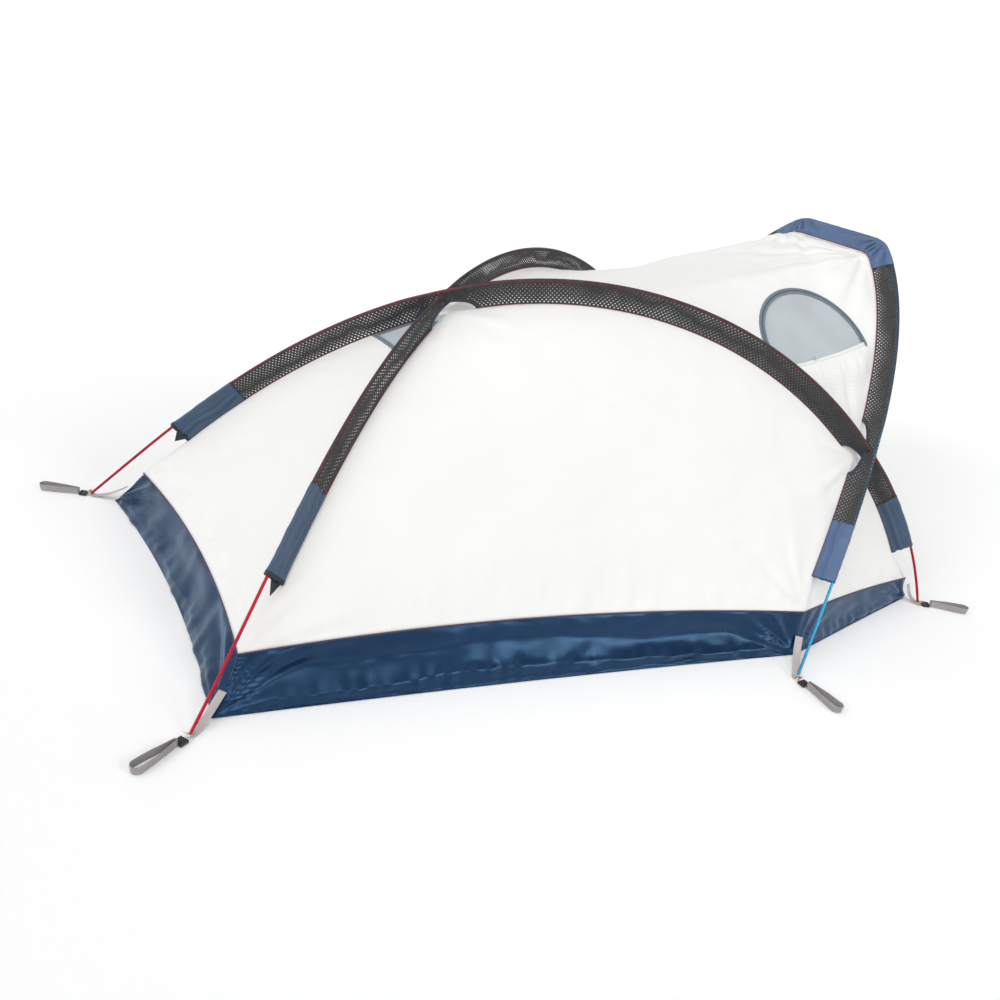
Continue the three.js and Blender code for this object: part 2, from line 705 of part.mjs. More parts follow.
// `seamPole` carries the seam; `notches` are the distances of the ends beside a crossing.
function finGeometry(curve, seamPole, focus, from, to, steps, notches = []) {
  const finTop = POLE_RADIUS + SLEEVE_START;
  const finFoot = SLEEVE_WIDTH - SEAM_GAP / 2;
  const cutBack = (distance) => {
    const nearest = Math.min(...notches.map((n) => Math.abs(n - distance)), NOTCH_TAPER.length);
    return NOTCH_TAPER.depth * (1 - nearest / NOTCH_TAPER.length);
  };
  const edge = (side) => (u, v) => {
    const distance = from + (to - from) * v;
    const tangent = curve.getTangentAt(distance / curve.getLength());
    const across = tangent.cross(sleeveDirection(curve, distance, focus)).normalize();
    const top = offPole(curve, distance, focus, finTop);
    const foot = offPole(seamPole, distance, focus, finFoot - cutBack(distance));
    return mix(top, foot, u).addScaledVector(across, (side * SLEEVE_THICK) / 2);
  };
  return sheetSolid(edge(1), edge(-1), 1, steps);
}

const underFocus = mirrored(ARCH_FOCUS, -1);
const roofEnd = archLength - HOOP_CROSSING_FROM_HEAD;
const archStretches = [
  ["foot", SLEEVE_FROM_FOOT, crossing - NOTCH, 10, [crossing - NOTCH]],
  ["roof", crossing + NOTCH, roofEnd - NOTCH, 16, [crossing + NOTCH, roofEnd - NOTCH]],
  ["head", roofEnd + NOTCH, archLength - SLEEVE_FROM_HEAD, 5, [roofEnd + NOTCH]],
];
for (const [label, ...stretch] of archStretches) {
  place("sleeve_over_" + label, finGeometry(overCurve, middleArch, ARCH_FOCUS, ...stretch), sleeveMesh);
  place("sleeve_under_" + label, finGeometry(underCurve, middleMirror, underFocus, ...stretch), sleeveMesh);
}
const lowEnd = HOOP_CROSSING_FROM_FOOT - NOTCH;
const highStart = HOOP_CROSSING_FROM_FOOT + NOTCH;
const hoopStretches = [
  ["low", SLEEVE_FROM_HOOP_FOOT, lowEnd, 6, [lowEnd]],
  ["high", highStart, COVER_FROM_FOOT - CLEAR, 10, [highStart]],
];
for (const [label, ...stretch] of hoopStretches) {
  const fin = finGeometry(hoopCurve, hoopCurve, HOOP_FOCUS, ...stretch);
  placePair("sleeve_hoop_" + label, fin, sleeveMesh);
}
const coverEnd = hoopLength - COVER_FROM_FOOT;
const COVER_STEPS = 30;
const cover = finGeometry(hoopCurve, hoopCurve, HOOP_FOCUS, COVER_FROM_FOOT, coverEnd, COVER_STEPS);
place("hoop_cover", cover, blueNylon);

// ---- Corner hardware at the six pole feet ----

const up = new THREE.Vector3(0, 0, 1);

function ringGeometry(axis, centre) {
  const { outer, inner, half } = GROMMET;
  const profile = [[inner, -half], [outer, -half], [outer, half], [inner, half], [inner, -half]];
  const ring = new THREE.LatheGeometry(profile.map(([r, y]) => new THREE.Vector2(r, y)), 12);
  ring.applyQuaternion(new THREE.Quaternion().setFromUnitVectors(new THREE.Vector3(0, 1, 0), axis));
  return ring.translate(centre.x, centre.y, centre.z);
}

// A strap from the grommet along the ground to the floor's corner, then up the corner.
const STRAP = { start: 12, height: 4, lap: 55, stand: 7 };
function strapGeometry(foot, corner, top) {
  const along = corner.clone().sub(foot).setZ(0);
  const reach = along.length() - STRAP.stand;
  along.normalize();
  const lean = top.clone().sub(corner).dot(along) / top.z;
  const [low, high] = [STRAP.height, STRAP.height + WEBBING_THICK];
  const shape = new THREE.Shape();
  shape.moveTo(STRAP.start, low);
  shape.lineTo(reach, low);
  shape.lineTo(reach + lean * STRAP.lap, STRAP.lap);
  shape.lineTo(reach + lean * STRAP.lap - WEBBING_THICK, STRAP.lap);
  shape.lineTo(reach - WEBBING_THICK, high);
  shape.lineTo(STRAP.start, high);
  const settings = { depth: WEBBING, bevelEnabled: false };
  const geometry = new THREE.ExtrudeGeometry(shape, settings).translate(0, 0, -WEBBING / 2);
  const frame = new THREE.Matrix4().makeBasis(along, up, along.clone().cross(up));
  frame.setPosition(foot.x, foot.y, 0);
  return geometry.applyMatrix4(frame);
}

// A flat plastic buckle with a slot for the webbing, X pointing away from the pole foot.
const BUCKLE = { start: 14, length: 24, half: 13, slot: 5, slotHalf: 9, height: 7, lift: 2 };
function buckleGeometry() {
  const rectangle = (x, width, half) => [
    new THREE.Vector2(x, -half),
    new THREE.Vector2(x + width, -half),
    new THREE.Vector2(x + width, half),
    new THREE.Vector2(x, half),
  ];
  const shape = new THREE.Shape(rectangle(BUCKLE.start, BUCKLE.length, BUCKLE.half));
  const slotStart = BUCKLE.start + BUCKLE.length - BUCKLE.slot * 1.6;
  shape.holes.push(new THREE.Path(rectangle(slotStart, BUCKLE.slot, BUCKLE.slotHalf)));
  const geometry = new THREE.ExtrudeGeometry(shape, { depth: BUCKLE.height, bevelEnabled: false });
  return geometry.translate(0, 0, BUCKLE.lift);
}

// A stake loop: webbing on edge, narrow at the buckle and round at the far end.
const LOOP = { start: 40, neck: 4, half: 15, lift: 0.5 };
function loopGeometry() {
  const drop = (inset) => {
    const half = LOOP.half - inset;
    const middle = LOOP_REACH - LOOP.half;
    const shape = new THREE.Shape();
    shape.moveTo(LOOP.start + inset * 3, -LOOP.neck + inset);
    shape.lineTo(middle, -half);
    shape.absarc(middle, 0, half, -Math.PI / 2, Math.PI / 2);
    shape.lineTo(LOOP.start + inset * 3, LOOP.neck - inset);
    return shape;
  };
  const shape = drop(0);
  shape.holes.push(new THREE.Path(drop(WEBBING_THICK).getPoints(8)));
  const settings = { depth: WEBBING, bevelEnabled: false, curveSegments: 8 };
  return new THREE.ExtrudeGeometry(shape, settings).translate(0, 0, LOOP.lift);
}

const feet = {
  foot: { at: [0, -FOOT_HALF], out: [-151, -87], pole: underCurve, share: 0 },
  hoop: { at: [HOOP_FOOT_X, -HOOP_FOOT_HALF], out: [0, -1], pole: hoopCurve, share: 0 },
  head: { at: [LENGTH, -HEAD_HALF], out: [116, -87], pole: overCurve, share: 1 },
};
for (const [key, foot] of Object.entries(feet)) {
  const centre = new THREE.Vector3(foot.at[0], foot.at[1], FOOT_Z);
  const axis = foot.pole.getTangentAt(foot.share);
  placePair("grommet_" + key, ringGeometry(axis, centre), brass);
  placePair("corner_strap_" + key, strapGeometry(centre, base[key], rim[key]), webbing);
  const turn = new THREE.Matrix4().makeRotationZ(Math.atan2(foot.out[1], foot.out[0]));
  turn.setPosition(centre.x, centre.y, 0);
  placePair("buckle_" + key, buckleGeometry().applyMatrix4(turn), blackPlastic);
  placePair("stake_loop_" + key, loopGeometry().applyMatrix4(turn), webbing);
}

// ---- Origin at the centre of the tent's outline on the ground ----

const outline = new THREE.Box3().setFromObject(tent, true);
tent.position.x = -(outline.min.x + outline.max.x) / 2;

export default tent;
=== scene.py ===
"""Looks for the three-pole inner tent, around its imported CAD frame. Metres, +Z up."""
import json
import math

import bmesh
import bpy
import numpy as np
from mathutils import Matrix, Vector

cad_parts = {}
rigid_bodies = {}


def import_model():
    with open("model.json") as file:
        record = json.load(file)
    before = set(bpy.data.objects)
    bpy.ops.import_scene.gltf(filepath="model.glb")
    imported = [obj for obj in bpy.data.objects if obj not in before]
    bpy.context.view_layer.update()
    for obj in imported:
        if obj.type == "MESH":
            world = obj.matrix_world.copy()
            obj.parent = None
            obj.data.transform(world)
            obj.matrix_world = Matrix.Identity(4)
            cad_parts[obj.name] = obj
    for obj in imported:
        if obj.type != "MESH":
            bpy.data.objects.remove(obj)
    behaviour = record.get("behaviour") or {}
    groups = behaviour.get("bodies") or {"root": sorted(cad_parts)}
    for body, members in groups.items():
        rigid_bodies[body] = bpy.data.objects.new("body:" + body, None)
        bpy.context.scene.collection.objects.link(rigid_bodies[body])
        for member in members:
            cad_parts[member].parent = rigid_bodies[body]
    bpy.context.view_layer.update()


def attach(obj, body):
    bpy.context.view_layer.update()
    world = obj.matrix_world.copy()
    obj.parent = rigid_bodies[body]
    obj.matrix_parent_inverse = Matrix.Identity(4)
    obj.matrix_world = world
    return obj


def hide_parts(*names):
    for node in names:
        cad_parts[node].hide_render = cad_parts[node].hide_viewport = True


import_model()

# ---- Driving dimensions, the same as the CAD's, in metres from the foot-end pole feet ----

ORIGIN_X = 1.19502
LENGTH, FOOT_HALF, HEAD_HALF = 2.400, 0.650, 0.740
HOOP_FOOT_X, HOOP_FOOT_HALF, FOOT_Z = 1.630, 0.945, 0.009
POLE_RADIUS = 0.00425
ARCH_HANDLES = [(0.475, 0.320, 0.610), (0.960, -0.310, 1.540), (2.160, -0.600, 0.820)]
CROSSING_SHIFT = 0.016
HOOP_HANDLES = [(2.000, -0.695, 0.290), (2.275, -0.555, 0.815)]
ELBOW, ELBOW_BEND = (2.388, -0.190, 1.093), 0.045
SLEEVE_WIDTH = 0.062
SLEEVE_FROM_FOOT, SLEEVE_FROM_HEAD, SLEEVE_FROM_HOOP_FOOT = 0.400, 0.222, 0.325
HOOP_CROSSING_FROM_HEAD, HOOP_CROSSING_FROM_FOOT = 0.611, 0.779
COVER_FROM_FOOT = 1.450
NOTCH = 0.045
BASE = {"foot": (0.062, -0.600, 0), "hoop": (1.722, -0.844, 0), "head": (2.386, -0.695, 0)}
RIM = {"foot": (0.140, -0.530, 0.120), "hoop": (1.757, -0.805, 0.120), "head": (2.362, -0.690, 0.080)}
BASE_BOW = {"side": (0.012, 0), "corner": (0.002, 0), "foot": (0.042, 0)}
RIM_BOW = {"side": (0.035, 0.022), "corner": (0.012, 0), "foot": (0.038, 0.006)}
DOOR_HALF, DOOR_SILL, DOOR_SIDE, FLAT_HALF = 0.340, 0.016, 0.350, 0.600
WINDOW_POINTS = [(0.742, -0.88), (0.739, -0.386), (0.965, -0.576)]
WINDOW_APRON, WINDOW_FADE, SEAM_FADE, ROOF_SAG = 0.016, 0.110, 0.03, 0.014
ARCH_FOCUS, HOOP_FOCUS = (1.250, -0.070, 0.100), (1.500, 0.0, 0.300)
LOOP_REACH, LOOP_HALF, LOOP_START, LOOP_NECK = 0.165, 0.015, 0.040, 0.004
WEBBING = 0.022
MIRROR = np.array([1.0, -1.0, 1.0])
SIDES = (("near", np.ones(3)), ("far", MIRROR))
CANOPY_CLOTH = 0.0008


def vec(p):
    return np.array(p, float) - np.array([ORIGIN_X, 0, 0])


def unit(a):
    return a / np.maximum(np.linalg.norm(a, axis=-1, keepdims=True), 1e-12)


# ---- Curves: dense polylines, read by distance ----

class Line:
    """A polyline, read by distance along it."""
    def __init__(self, points):
        points = np.asarray(points, float)
        steps = np.linalg.norm(np.diff(points, axis=0), axis=1)
        keep = np.r_[True, steps > 1e-9]
        self.p = points[keep]
        self.d = np.r_[0, np.cumsum(np.linalg.norm(np.diff(self.p, axis=0), axis=1))]
        self.length = self.d[-1]

    def at(self, d):
        d = np.clip(d, 0, self.length)
        return np.stack([np.interp(d, self.d, self.p[:, k]) for k in range(3)], -1)

    def share(self, t):
        return self.at(np.asarray(t, float) * self.length)

    def tangent(self, d, h=0.002):
        d = np.asarray(d, float)
        return unit(self.at(np.clip(d + h, 0, self.length)) - self.at(np.clip(d - h, 0, self.length)))


def bezier(points, n=1500):
    t = np.linspace(0, 1, n)[:, None]
    row = [np.repeat(np.array(p, float)[None], n, 0) for p in points]
    while len(row) > 1:
        row = [a * (1 - t) + b * t for a, b in zip(row, row[1:])]
    return row[0]


def arch_points(shift):
    h = [vec(p) for p in ARCH_HANDLES]
    h[1] = h[1] + [0, 0, shift]
    return [vec((0, FOOT_HALF, FOOT_Z)), *h, vec((LENGTH, -HEAD_HALF, FOOT_Z))]


over = Line(bezier(arch_points(CROSSING_SHIFT)))
under = Line(bezier(arch_points(-CROSSING_SHIFT)) * MIRROR)
middle = Line(bezier(arch_points(0)))

elbow = vec(ELBOW)
hoop_handles = [vec(p) for p in HOOP_HANDLES]
leg_end = elbow - unit(elbow - hoop_handles[1]) * ELBOW_BEND
bar_start = elbow + [0, ELBOW_BEND, 0]
hoop_leg = bezier([vec((HOOP_FOOT_X, -HOOP_FOOT_HALF, FOOT_Z)), *hoop_handles, leg_end])
hoop_bend = bezier([leg_end, elbow, bar_start], 200)
half_hoop = np.vstack([hoop_leg, hoop_bend])
hoop = Line(np.vstack([half_hoop, (half_hoop * MIRROR)[::-1]]))
elbow_distance = Line(hoop_leg).length + Line(hoop_bend).length / 2


def sleeve_direction(curve, d, focus):
    t = curve.tangent(d)
    to = np.array(focus) - curve.at(d)
    return unit(to - t * (to * t).sum(-1, keepdims=True))


arch_focus, hoop_focus = vec(ARCH_FOCUS), vec(HOOP_FOCUS)


def arch_seam(d):
    return middle.at(d) + sleeve_direction(middle, d, arch_focus) * SLEEVE_WIDTH


def hoop_seam(d):
    return hoop.at(d) + sleeve_direction(hoop, d, hoop_focus) * SLEEVE_WIDTH


low, high = 0.0, middle.length / 2
for _ in range(40):
    mid = (low + high) / 2
    low, high = (mid, high) if arch_seam(mid)[1] > 0 else (low, mid)
crossing = low
apex = arch_seam(crossing) * [1, 0, 1]
shoulder = (arch_seam(middle.length - HOOP_CROSSING_FROM_HEAD) + hoop_seam(HOOP_CROSSING_FROM_FOOT)) / 2
elbow_seam = hoop_seam(elbow_distance)


def catmull(points, n=60):
    """A centripetal Catmull-Rom curve through the points."""
    p = [2 * points[0] - points[1], *points, 2 * points[-1] - points[-2]]
    out = []
    t = np.linspace(0, 1, n, endpoint=False)[:, None]
    for x0, x1, x2, x3 in zip(p, p[1:], p[2:], p[3:]):
        d0, d1, d2 = (max(np.linalg.norm(b - a) ** 0.5, 1e-4) for a, b in ((x0, x1), (x1, x2), (x2, x3)))
        t1 = ((x1 - x0) / d0 - (x2 - x0) / (d0 + d1) + (x2 - x1) / d1) * d1
        t2 = ((x2 - x1) / d1 - (x3 - x1) / (d1 + d2) + (x3 - x2) / d2) * d1
        out.append(x1 + t1 * t + (-3 * x1 + 3 * x2 - 2 * t1 - t2) * t**2 + (2 * x1 - 2 * x2 + t1 + t2) * t**3)
    return Line(np.vstack([*out, points[-1][None]]))


def edge_along(start, seam, a, b, end, count=9):
    return catmull([start, *[seam(a + (b - a) * i / (count - 1)) for i in range(count)], end])


rim = {k: vec(p) for k, p in RIM.items()}
base = {k: vec(p) for k, p in BASE.items()}
foot_seam = edge_along(rim["foot"], lambda d: arch_seam(d) * MIRROR, SLEEVE_FROM_FOOT, crossing - NOTCH, apex)
roof_seam = edge_along(
    apex, arch_seam, crossing + NOTCH, middle.length - HOOP_CROSSING_FROM_HEAD - 2 * NOTCH, shoulder)
head_seam = edge_along(
    rim["head"], arch_seam, middle.length - SLEEVE_FROM_HEAD,
    middle.length - HOOP_CROSSING_FROM_HEAD + 2 * NOTCH, shoulder, 5)
hoop_low = edge_along(
    rim["hoop"], hoop_seam, SLEEVE_FROM_HOOP_FOOT, HOOP_CROSSING_FROM_FOOT - 2 * NOTCH, shoulder, 5)
hoop_high = edge_along(
    shoulder, hoop_seam, HOOP_CROSSING_FROM_FOOT + 2 * NOTCH, elbow_distance - ELBOW_BEND, elbow_seam, 6)


def rim_edge(start, end, bow, rise):
    along = unit((end - start) * [1, 1, 0])
    inward = np.array([-along[1], along[0], 0])
    handle = (start + end) / 2 + inward * bow * 2 + [0, 0, rise * 2]
    return Line(bezier([start, handle, end], 400))


side_rim = rim_edge(rim["foot"], rim["hoop"], *RIM_BOW["side"])
corner_rim = rim_edge(rim["hoop"], rim["head"], *RIM_BOW["corner"])
foot_rim = rim_edge(rim["foot"] * MIRROR, rim["foot"], *RIM_BOW["foot"])

# ---- Canopy surfaces ----


def smooth(x, a, b):
    t = np.clip((x - a) / (b - a), 0, 1)
    return t * t * (3 - 2 * t)


def coons(left, right, bottom, top):
    """A surface stretched between four edge curves that meet at the corners."""
    begin, end = np.array([0.0]), np.array([1.0])
    c00, c10, c01, c11 = left(begin), right(begin), left(end), right(end)

    def surface(u, v):
        u, v = np.broadcast_arrays(u, v)
        shape = u.shape
        u, v = u.ravel(), v.ravel()
        U, V = u[:, None], v[:, None]
        p = left(v) * (1 - U) + right(v) * U + bottom(u) * (1 - V) + top(u) * V
        p = p - ((c00 * (1 - U) + c10 * U) * (1 - V) + (c01 * (1 - U) + c11 * U) * V)
        return p.reshape(*shape, 3)

    return surface


def point_at(p):
    return lambda t: np.repeat(p[None], len(t), 0)


foot_surface = coons(lambda v: foot_seam.share(v) * MIRROR, foot_seam.share, foot_rim.share, point_at(apex))
side_surface = coons(foot_seam.share, hoop_low.share, side_rim.share, roof_seam.share)
corner_surface = coons(hoop_low.share, head_seam.share, corner_rim.share, point_at(shoulder))
high_length = hoop_high.length
half_span = high_length - elbow_seam[1]


def hoop_top(v):
    distance = (1 - np.abs(v)) * half_span
    side = np.where(v > 0, -1.0, 1.0)
    low_part = hoop_high.share(np.minimum(distance / high_length, 1))
    bar = np.repeat(elbow_seam[None], len(v), 0)
    bar[:, 1] = elbow_seam[1] + distance - high_length
    p = np.where((distance < high_length)[:, None], low_part, bar)
    p[:, 1] *= side
    return p


def roof_surface(u, w):
    u, w = np.broadcast_arrays(u, w)
    shape = u.shape
    u, v = u.ravel(), w.ravel() * 2 - 1
    edge, top, crown = roof_seam.share(u), hoop_top(v), hoop_top(np.array([0.0]))[0]
    slope = (crown[2] - apex[2]) / (crown[0] - apex[0])
    rise, reach = crown[2] - shoulder[2], crown[0] - shoulder[0]
    growth = (apex[2] - edge[:, 2] + slope * (edge[:, 0] - apex[0])) / (rise - slope * reach)
    sag = ROOF_SAG * np.sin(np.pi * u) * (1 - v * v)
    return np.stack([
        edge[:, 0] + growth * (top[:, 0] - shoulder[0]),
        -v * edge[:, 1] + (edge[:, 1] / shoulder[1]) * (top[:, 1] + v * shoulder[1]),
        edge[:, 2] + growth * (top[:, 2] - shoulder[2]) - sag], -1).reshape(*shape, 3)


class Pane:
    """A window's flat frame: X along its sill, Y up the slope, Z out."""
    def __init__(self):
        a, b, c = (roof_surface(np.array([u]), np.array([(v + 1) / 2]))[0] for u, v in WINDOW_POINTS)
        ab, ac = b - a, c - a
        cross = np.cross(ab, ac)
        centre = (np.cross(cross, ab) * (ac @ ac) + np.cross(ac, cross) * (ab @ ab)) / (2 * cross @ cross) + a
        out = unit(cross)
        self.z = out if out[2] > 0 else -out
        self.x = unit(ac)
        self.y = np.cross(self.z, self.x)
        self.o = centre
        self.radius = np.linalg.norm(centre - a)
        self.sill = (a - centre) @ self.y

    def local(self, p):
        q = p - self.o
        return np.stack([q @ self.x, q @ self.y, q @ self.z], -1)

    def world(self, x, y, z):
        x, y, z = np.broadcast_arrays(x, y, z)
        return self.o + x[..., None] * self.x + y[..., None] * self.y + z[..., None] * self.z


pane = Pane()


def flattened_roof(u, w):
    u, w = np.broadcast_arrays(u, w)
    p = roof_surface(u, w)
    side = np.where(w > 0.5, -1.0, 1.0)
    flip = np.stack([np.ones_like(side), side, np.ones_like(side)], -1)
    q = pane.local(p * flip)
    gap = np.maximum(np.hypot(q[..., 0], q[..., 1]) - pane.radius, pane.sill - q[..., 1])
    flat = 1 - smooth(gap, WINDOW_APRON, WINDOW_APRON + WINDOW_FADE)
    inside = smooth(1 - u, 0, SEAM_FADE) * smooth(np.minimum(w, 1 - w), 0, SEAM_FADE)
    return p + (pane.z * flip) * (-q[..., 2] * flat * inside)[..., None]


flat_top = elbow_seam
flat_foot = np.array([rim["head"][0], -FLAT_HALF, rim["head"][2]])
wing_outer = Line(np.vstack([head_seam.p, hoop_high.p]))
wing_surface = coons(
    wing_outer.share, lambda v: flat_foot + (flat_top - flat_foot) * v[:, None],
    lambda u: rim["head"] + (flat_foot - rim["head"]) * u[:, None], point_at(flat_top))
door_up = unit((flat_top - flat_foot) * [1, 0, 1])
door_out = np.cross([0, 1, 0], door_up)
door_base = np.array([flat_foot[0], 0, flat_foot[2]])


def door_point(y, h, lift=0.0):
    y, h, lift = np.broadcast_arrays(y, h, lift)
    sideways = np.array([0, 1.0, 0])
    return door_base + y[..., None] * sideways + h[..., None] * door_up + lift[..., None] * door_out

# ---- Mesh building ----

UV = "metres"


class Builder:
    """Collects grids and nets into one mesh whose UV map is in metres."""
    def __init__(self):
        self.verts, self.faces, self.uvs, self.mats, self.count = [], [], [], [], 0

    def add(self, verts, faces, uvs, mat=0):
        """faces: lists of indices; uvs: one (n, 2) array per face, in the same order."""
        self.verts.append(np.asarray(verts, float).reshape(-1, 3))
        for f, uv in zip(faces, uvs):
            self.faces.append([int(i) + self.count for i in f])
            self.uvs.extend([tuple(x) for x in uv])
            self.mats.append(mat)
        self.count += len(self.verts[-1])

    def grid(self, p, close=False, mat=0, uv=None):
        """A grid of points p[row, column]; close joins the last column to the first."""
        rows, cols = p.shape[:2]
        q = np.concatenate([p, p[:, :1]], 1) if close else p
        if uv is None:
            du = np.r_[0, np.cumsum(np.linalg.norm(np.diff(q, axis=1), axis=2).mean(0))]
            dv = np.r_[0, np.cumsum(np.linalg.norm(np.diff(p, axis=0), axis=2).mean(1))]
            uv = np.stack(np.meshgrid(du, dv), -1)
        i, j = np.meshgrid(np.arange(rows - 1), np.arange(cols if close else cols - 1), indexing="ij")
        i, j = i.ravel(), j.ravel()
        k = (j + 1) % cols
        faces = np.stack([i * cols + j, i * cols + k, (i + 1) * cols + k, (i + 1) * cols + j], -1)
        coords = np.stack([uv[i, j], uv[i, j + 1], uv[i + 1, j + 1], uv[i + 1, j]], 1)
        self.add(p.reshape(-1, 3), faces, coords, mat)

    def net(self, surface, columns, rows, size, hole, keep=None, mat=0):
        """Diamond net over surface(a, b), a and b from 0 to 1, with columns x rows half-tiles."""
        index, coords = {}, []

        def vertex(i, j):
            key = (round(i, 4), round(j, 4))
            if key not in index:
                index[key] = len(coords)
                coords.append(key)
            return index[key]

        faces = []
        for i in range(columns + 1):
            for j in range((i + 1) % 2, rows + 1, 2):
                if keep is not None and not keep[i, j]:
                    continue
                ring = [(i - 1, j), (i, j - 1), (i + 1, j), (i, j + 1)]
                inside = [c for c in ring if 0 <= c[0] <= columns and 0 <= c[1] <= rows]
                if len(inside) < 4:
                    if len(inside) == 3:
                        faces.append([vertex(*c) for c in inside])
                    continue
                inner = [(i + (a - i) * hole, j + (b - j) * hole) for a, b in ring]
                for k in range(4):
                    m = (k + 1) % 4
                    faces.append([vertex(*ring[k]), vertex(*ring[m]), vertex(*inner[m]), vertex(*inner[k])])
        c = np.array(coords) / [columns, rows]
        p = surface(c[:, 0], c[:, 1])
        uv = c * np.array(size)
        self.add(p, faces, [uv[f] for f in faces], mat)

    def build(self, name, materials, weld=None, shade=True):
        mesh = bpy.data.meshes.new(name)
        mesh.from_pydata(np.vstack(self.verts).tolist(), [], self.faces)
        layer = mesh.uv_layers.new(name=UV)
        layer.data.foreach_set("uv", np.array(self.uvs, np.float32).ravel())
        for m in materials:
            mesh.materials.append(m)
        mesh.polygons.foreach_set("material_index", self.mats)
        mesh.polygons.foreach_set("use_smooth", [shade] * len(mesh.polygons))
        if weld:
            bm = bmesh.new()
            bm.from_mesh(mesh)
            bmesh.ops.remove_doubles(bm, verts=bm.verts, dist=weld)
            bmesh.ops.recalc_face_normals(bm, faces=bm.faces)
            bm.to_mesh(mesh)
            bm.free()
        mesh.validate()
        mesh.update()
        piece = bpy.data.objects.new(name, mesh)
        bpy.context.scene.collection.objects.link(piece)
        return piece


def frames(path):
    """Tangent and two normals along a path of points, without twist."""
    t = unit(np.gradient(path, axis=0))
    n = np.zeros_like(t)
    start = np.cross(t[0], [0, 0, 1.0])
    n[0] = unit(start if np.linalg.norm(start) > 1e-3 else np.cross(t[0], [1.0, 0, 0]))
    for i in range(1, len(t)):
        n[i] = unit(n[i - 1] - t[i] * (n[i - 1] @ t[i]))
    return t, n, np.cross(t, n)


def tube(path, radius, sides=10):
    """Points of a round tube along a path; radius is a number or one per point."""
    _, n, b = frames(path)
    a = np.linspace(0, 2 * np.pi, sides, endpoint=False)
    r = np.broadcast_to(radius, (len(path),))[:, None, None]
    return path[:, None] + r * (np.cos(a)[None, :, None] * n[:, None] + np.sin(a)[None, :, None] * b[:, None])


def capped(points):
    """A closed-ring grid whose first and last rings shrink to their centres."""
    first, last = points[0].mean(0), points[-1].mean(0)
    n = points.shape[1]
    return np.concatenate([np.repeat(first[None, None], n, 1), points, np.repeat(last[None, None], n, 1)])


def ribbon(path, across, width, thick, edge=3):
    """A webbing strip: ring of points round a flat section; across is its width direction."""
    t = unit(np.gradient(path, axis=0))
    across = np.broadcast_to(across, path.shape)
    across = unit(across - t * (across * t).sum(-1, keepdims=True))
    n = np.cross(t, across)
    a = np.linspace(-np.pi / 2, np.pi / 2, edge + 1)
    ring = [(width / 2 - thick / 2 + thick / 2 * math.cos(x), thick / 2 * math.sin(x)) for x in a]
    ring += [(x, thick / 2) for x in np.linspace(width / 2 - thick, -width / 2 + thick, 5)]
    ring += [(-width / 2 + thick / 2 - thick / 2 * math.cos(x), -thick / 2 * math.sin(x)) for x in a]
    ring += [(x, -thick / 2) for x in np.linspace(-width / 2 + thick, width / 2 - thick, 5)]
    return np.stack([path + across * x + n * y for x, y in ring], 1)


def stitches(builder, path, normal, mat, pitch=0.0036, length=0.0026, width=0.0007):
    """A row of raised stitches along a path, on the side its normal points to."""
    line = Line(path)
    count = max(1, int(line.length / pitch))
    centres = (np.arange(count) + 0.5) * line.length / count
    p, t = line.at(centres), line.tangent(centres)
    each = np.broadcast_to(normal, path.shape)
    share = np.linspace(0, 1, len(path))
    n = unit(np.stack([np.interp(centres / line.length, share, each[:, k]) for k in range(3)], -1))
    w = unit(np.cross(t, n))
    for k in range(count):
        pts = []
        for along, rise in ((-0.5, 0.0), (-0.25, 0.8), (0.25, 0.8), (0.5, 0.0)):
            middle_point = p[k] + t[k] * along * length + n[k] * rise * width
            half = w[k] * width / 2
            pts.append([middle_point - half, middle_point + n[k] * width * 0.3, middle_point + half])
        builder.grid(np.array(pts), mat=mat)


# ---- Materials ----


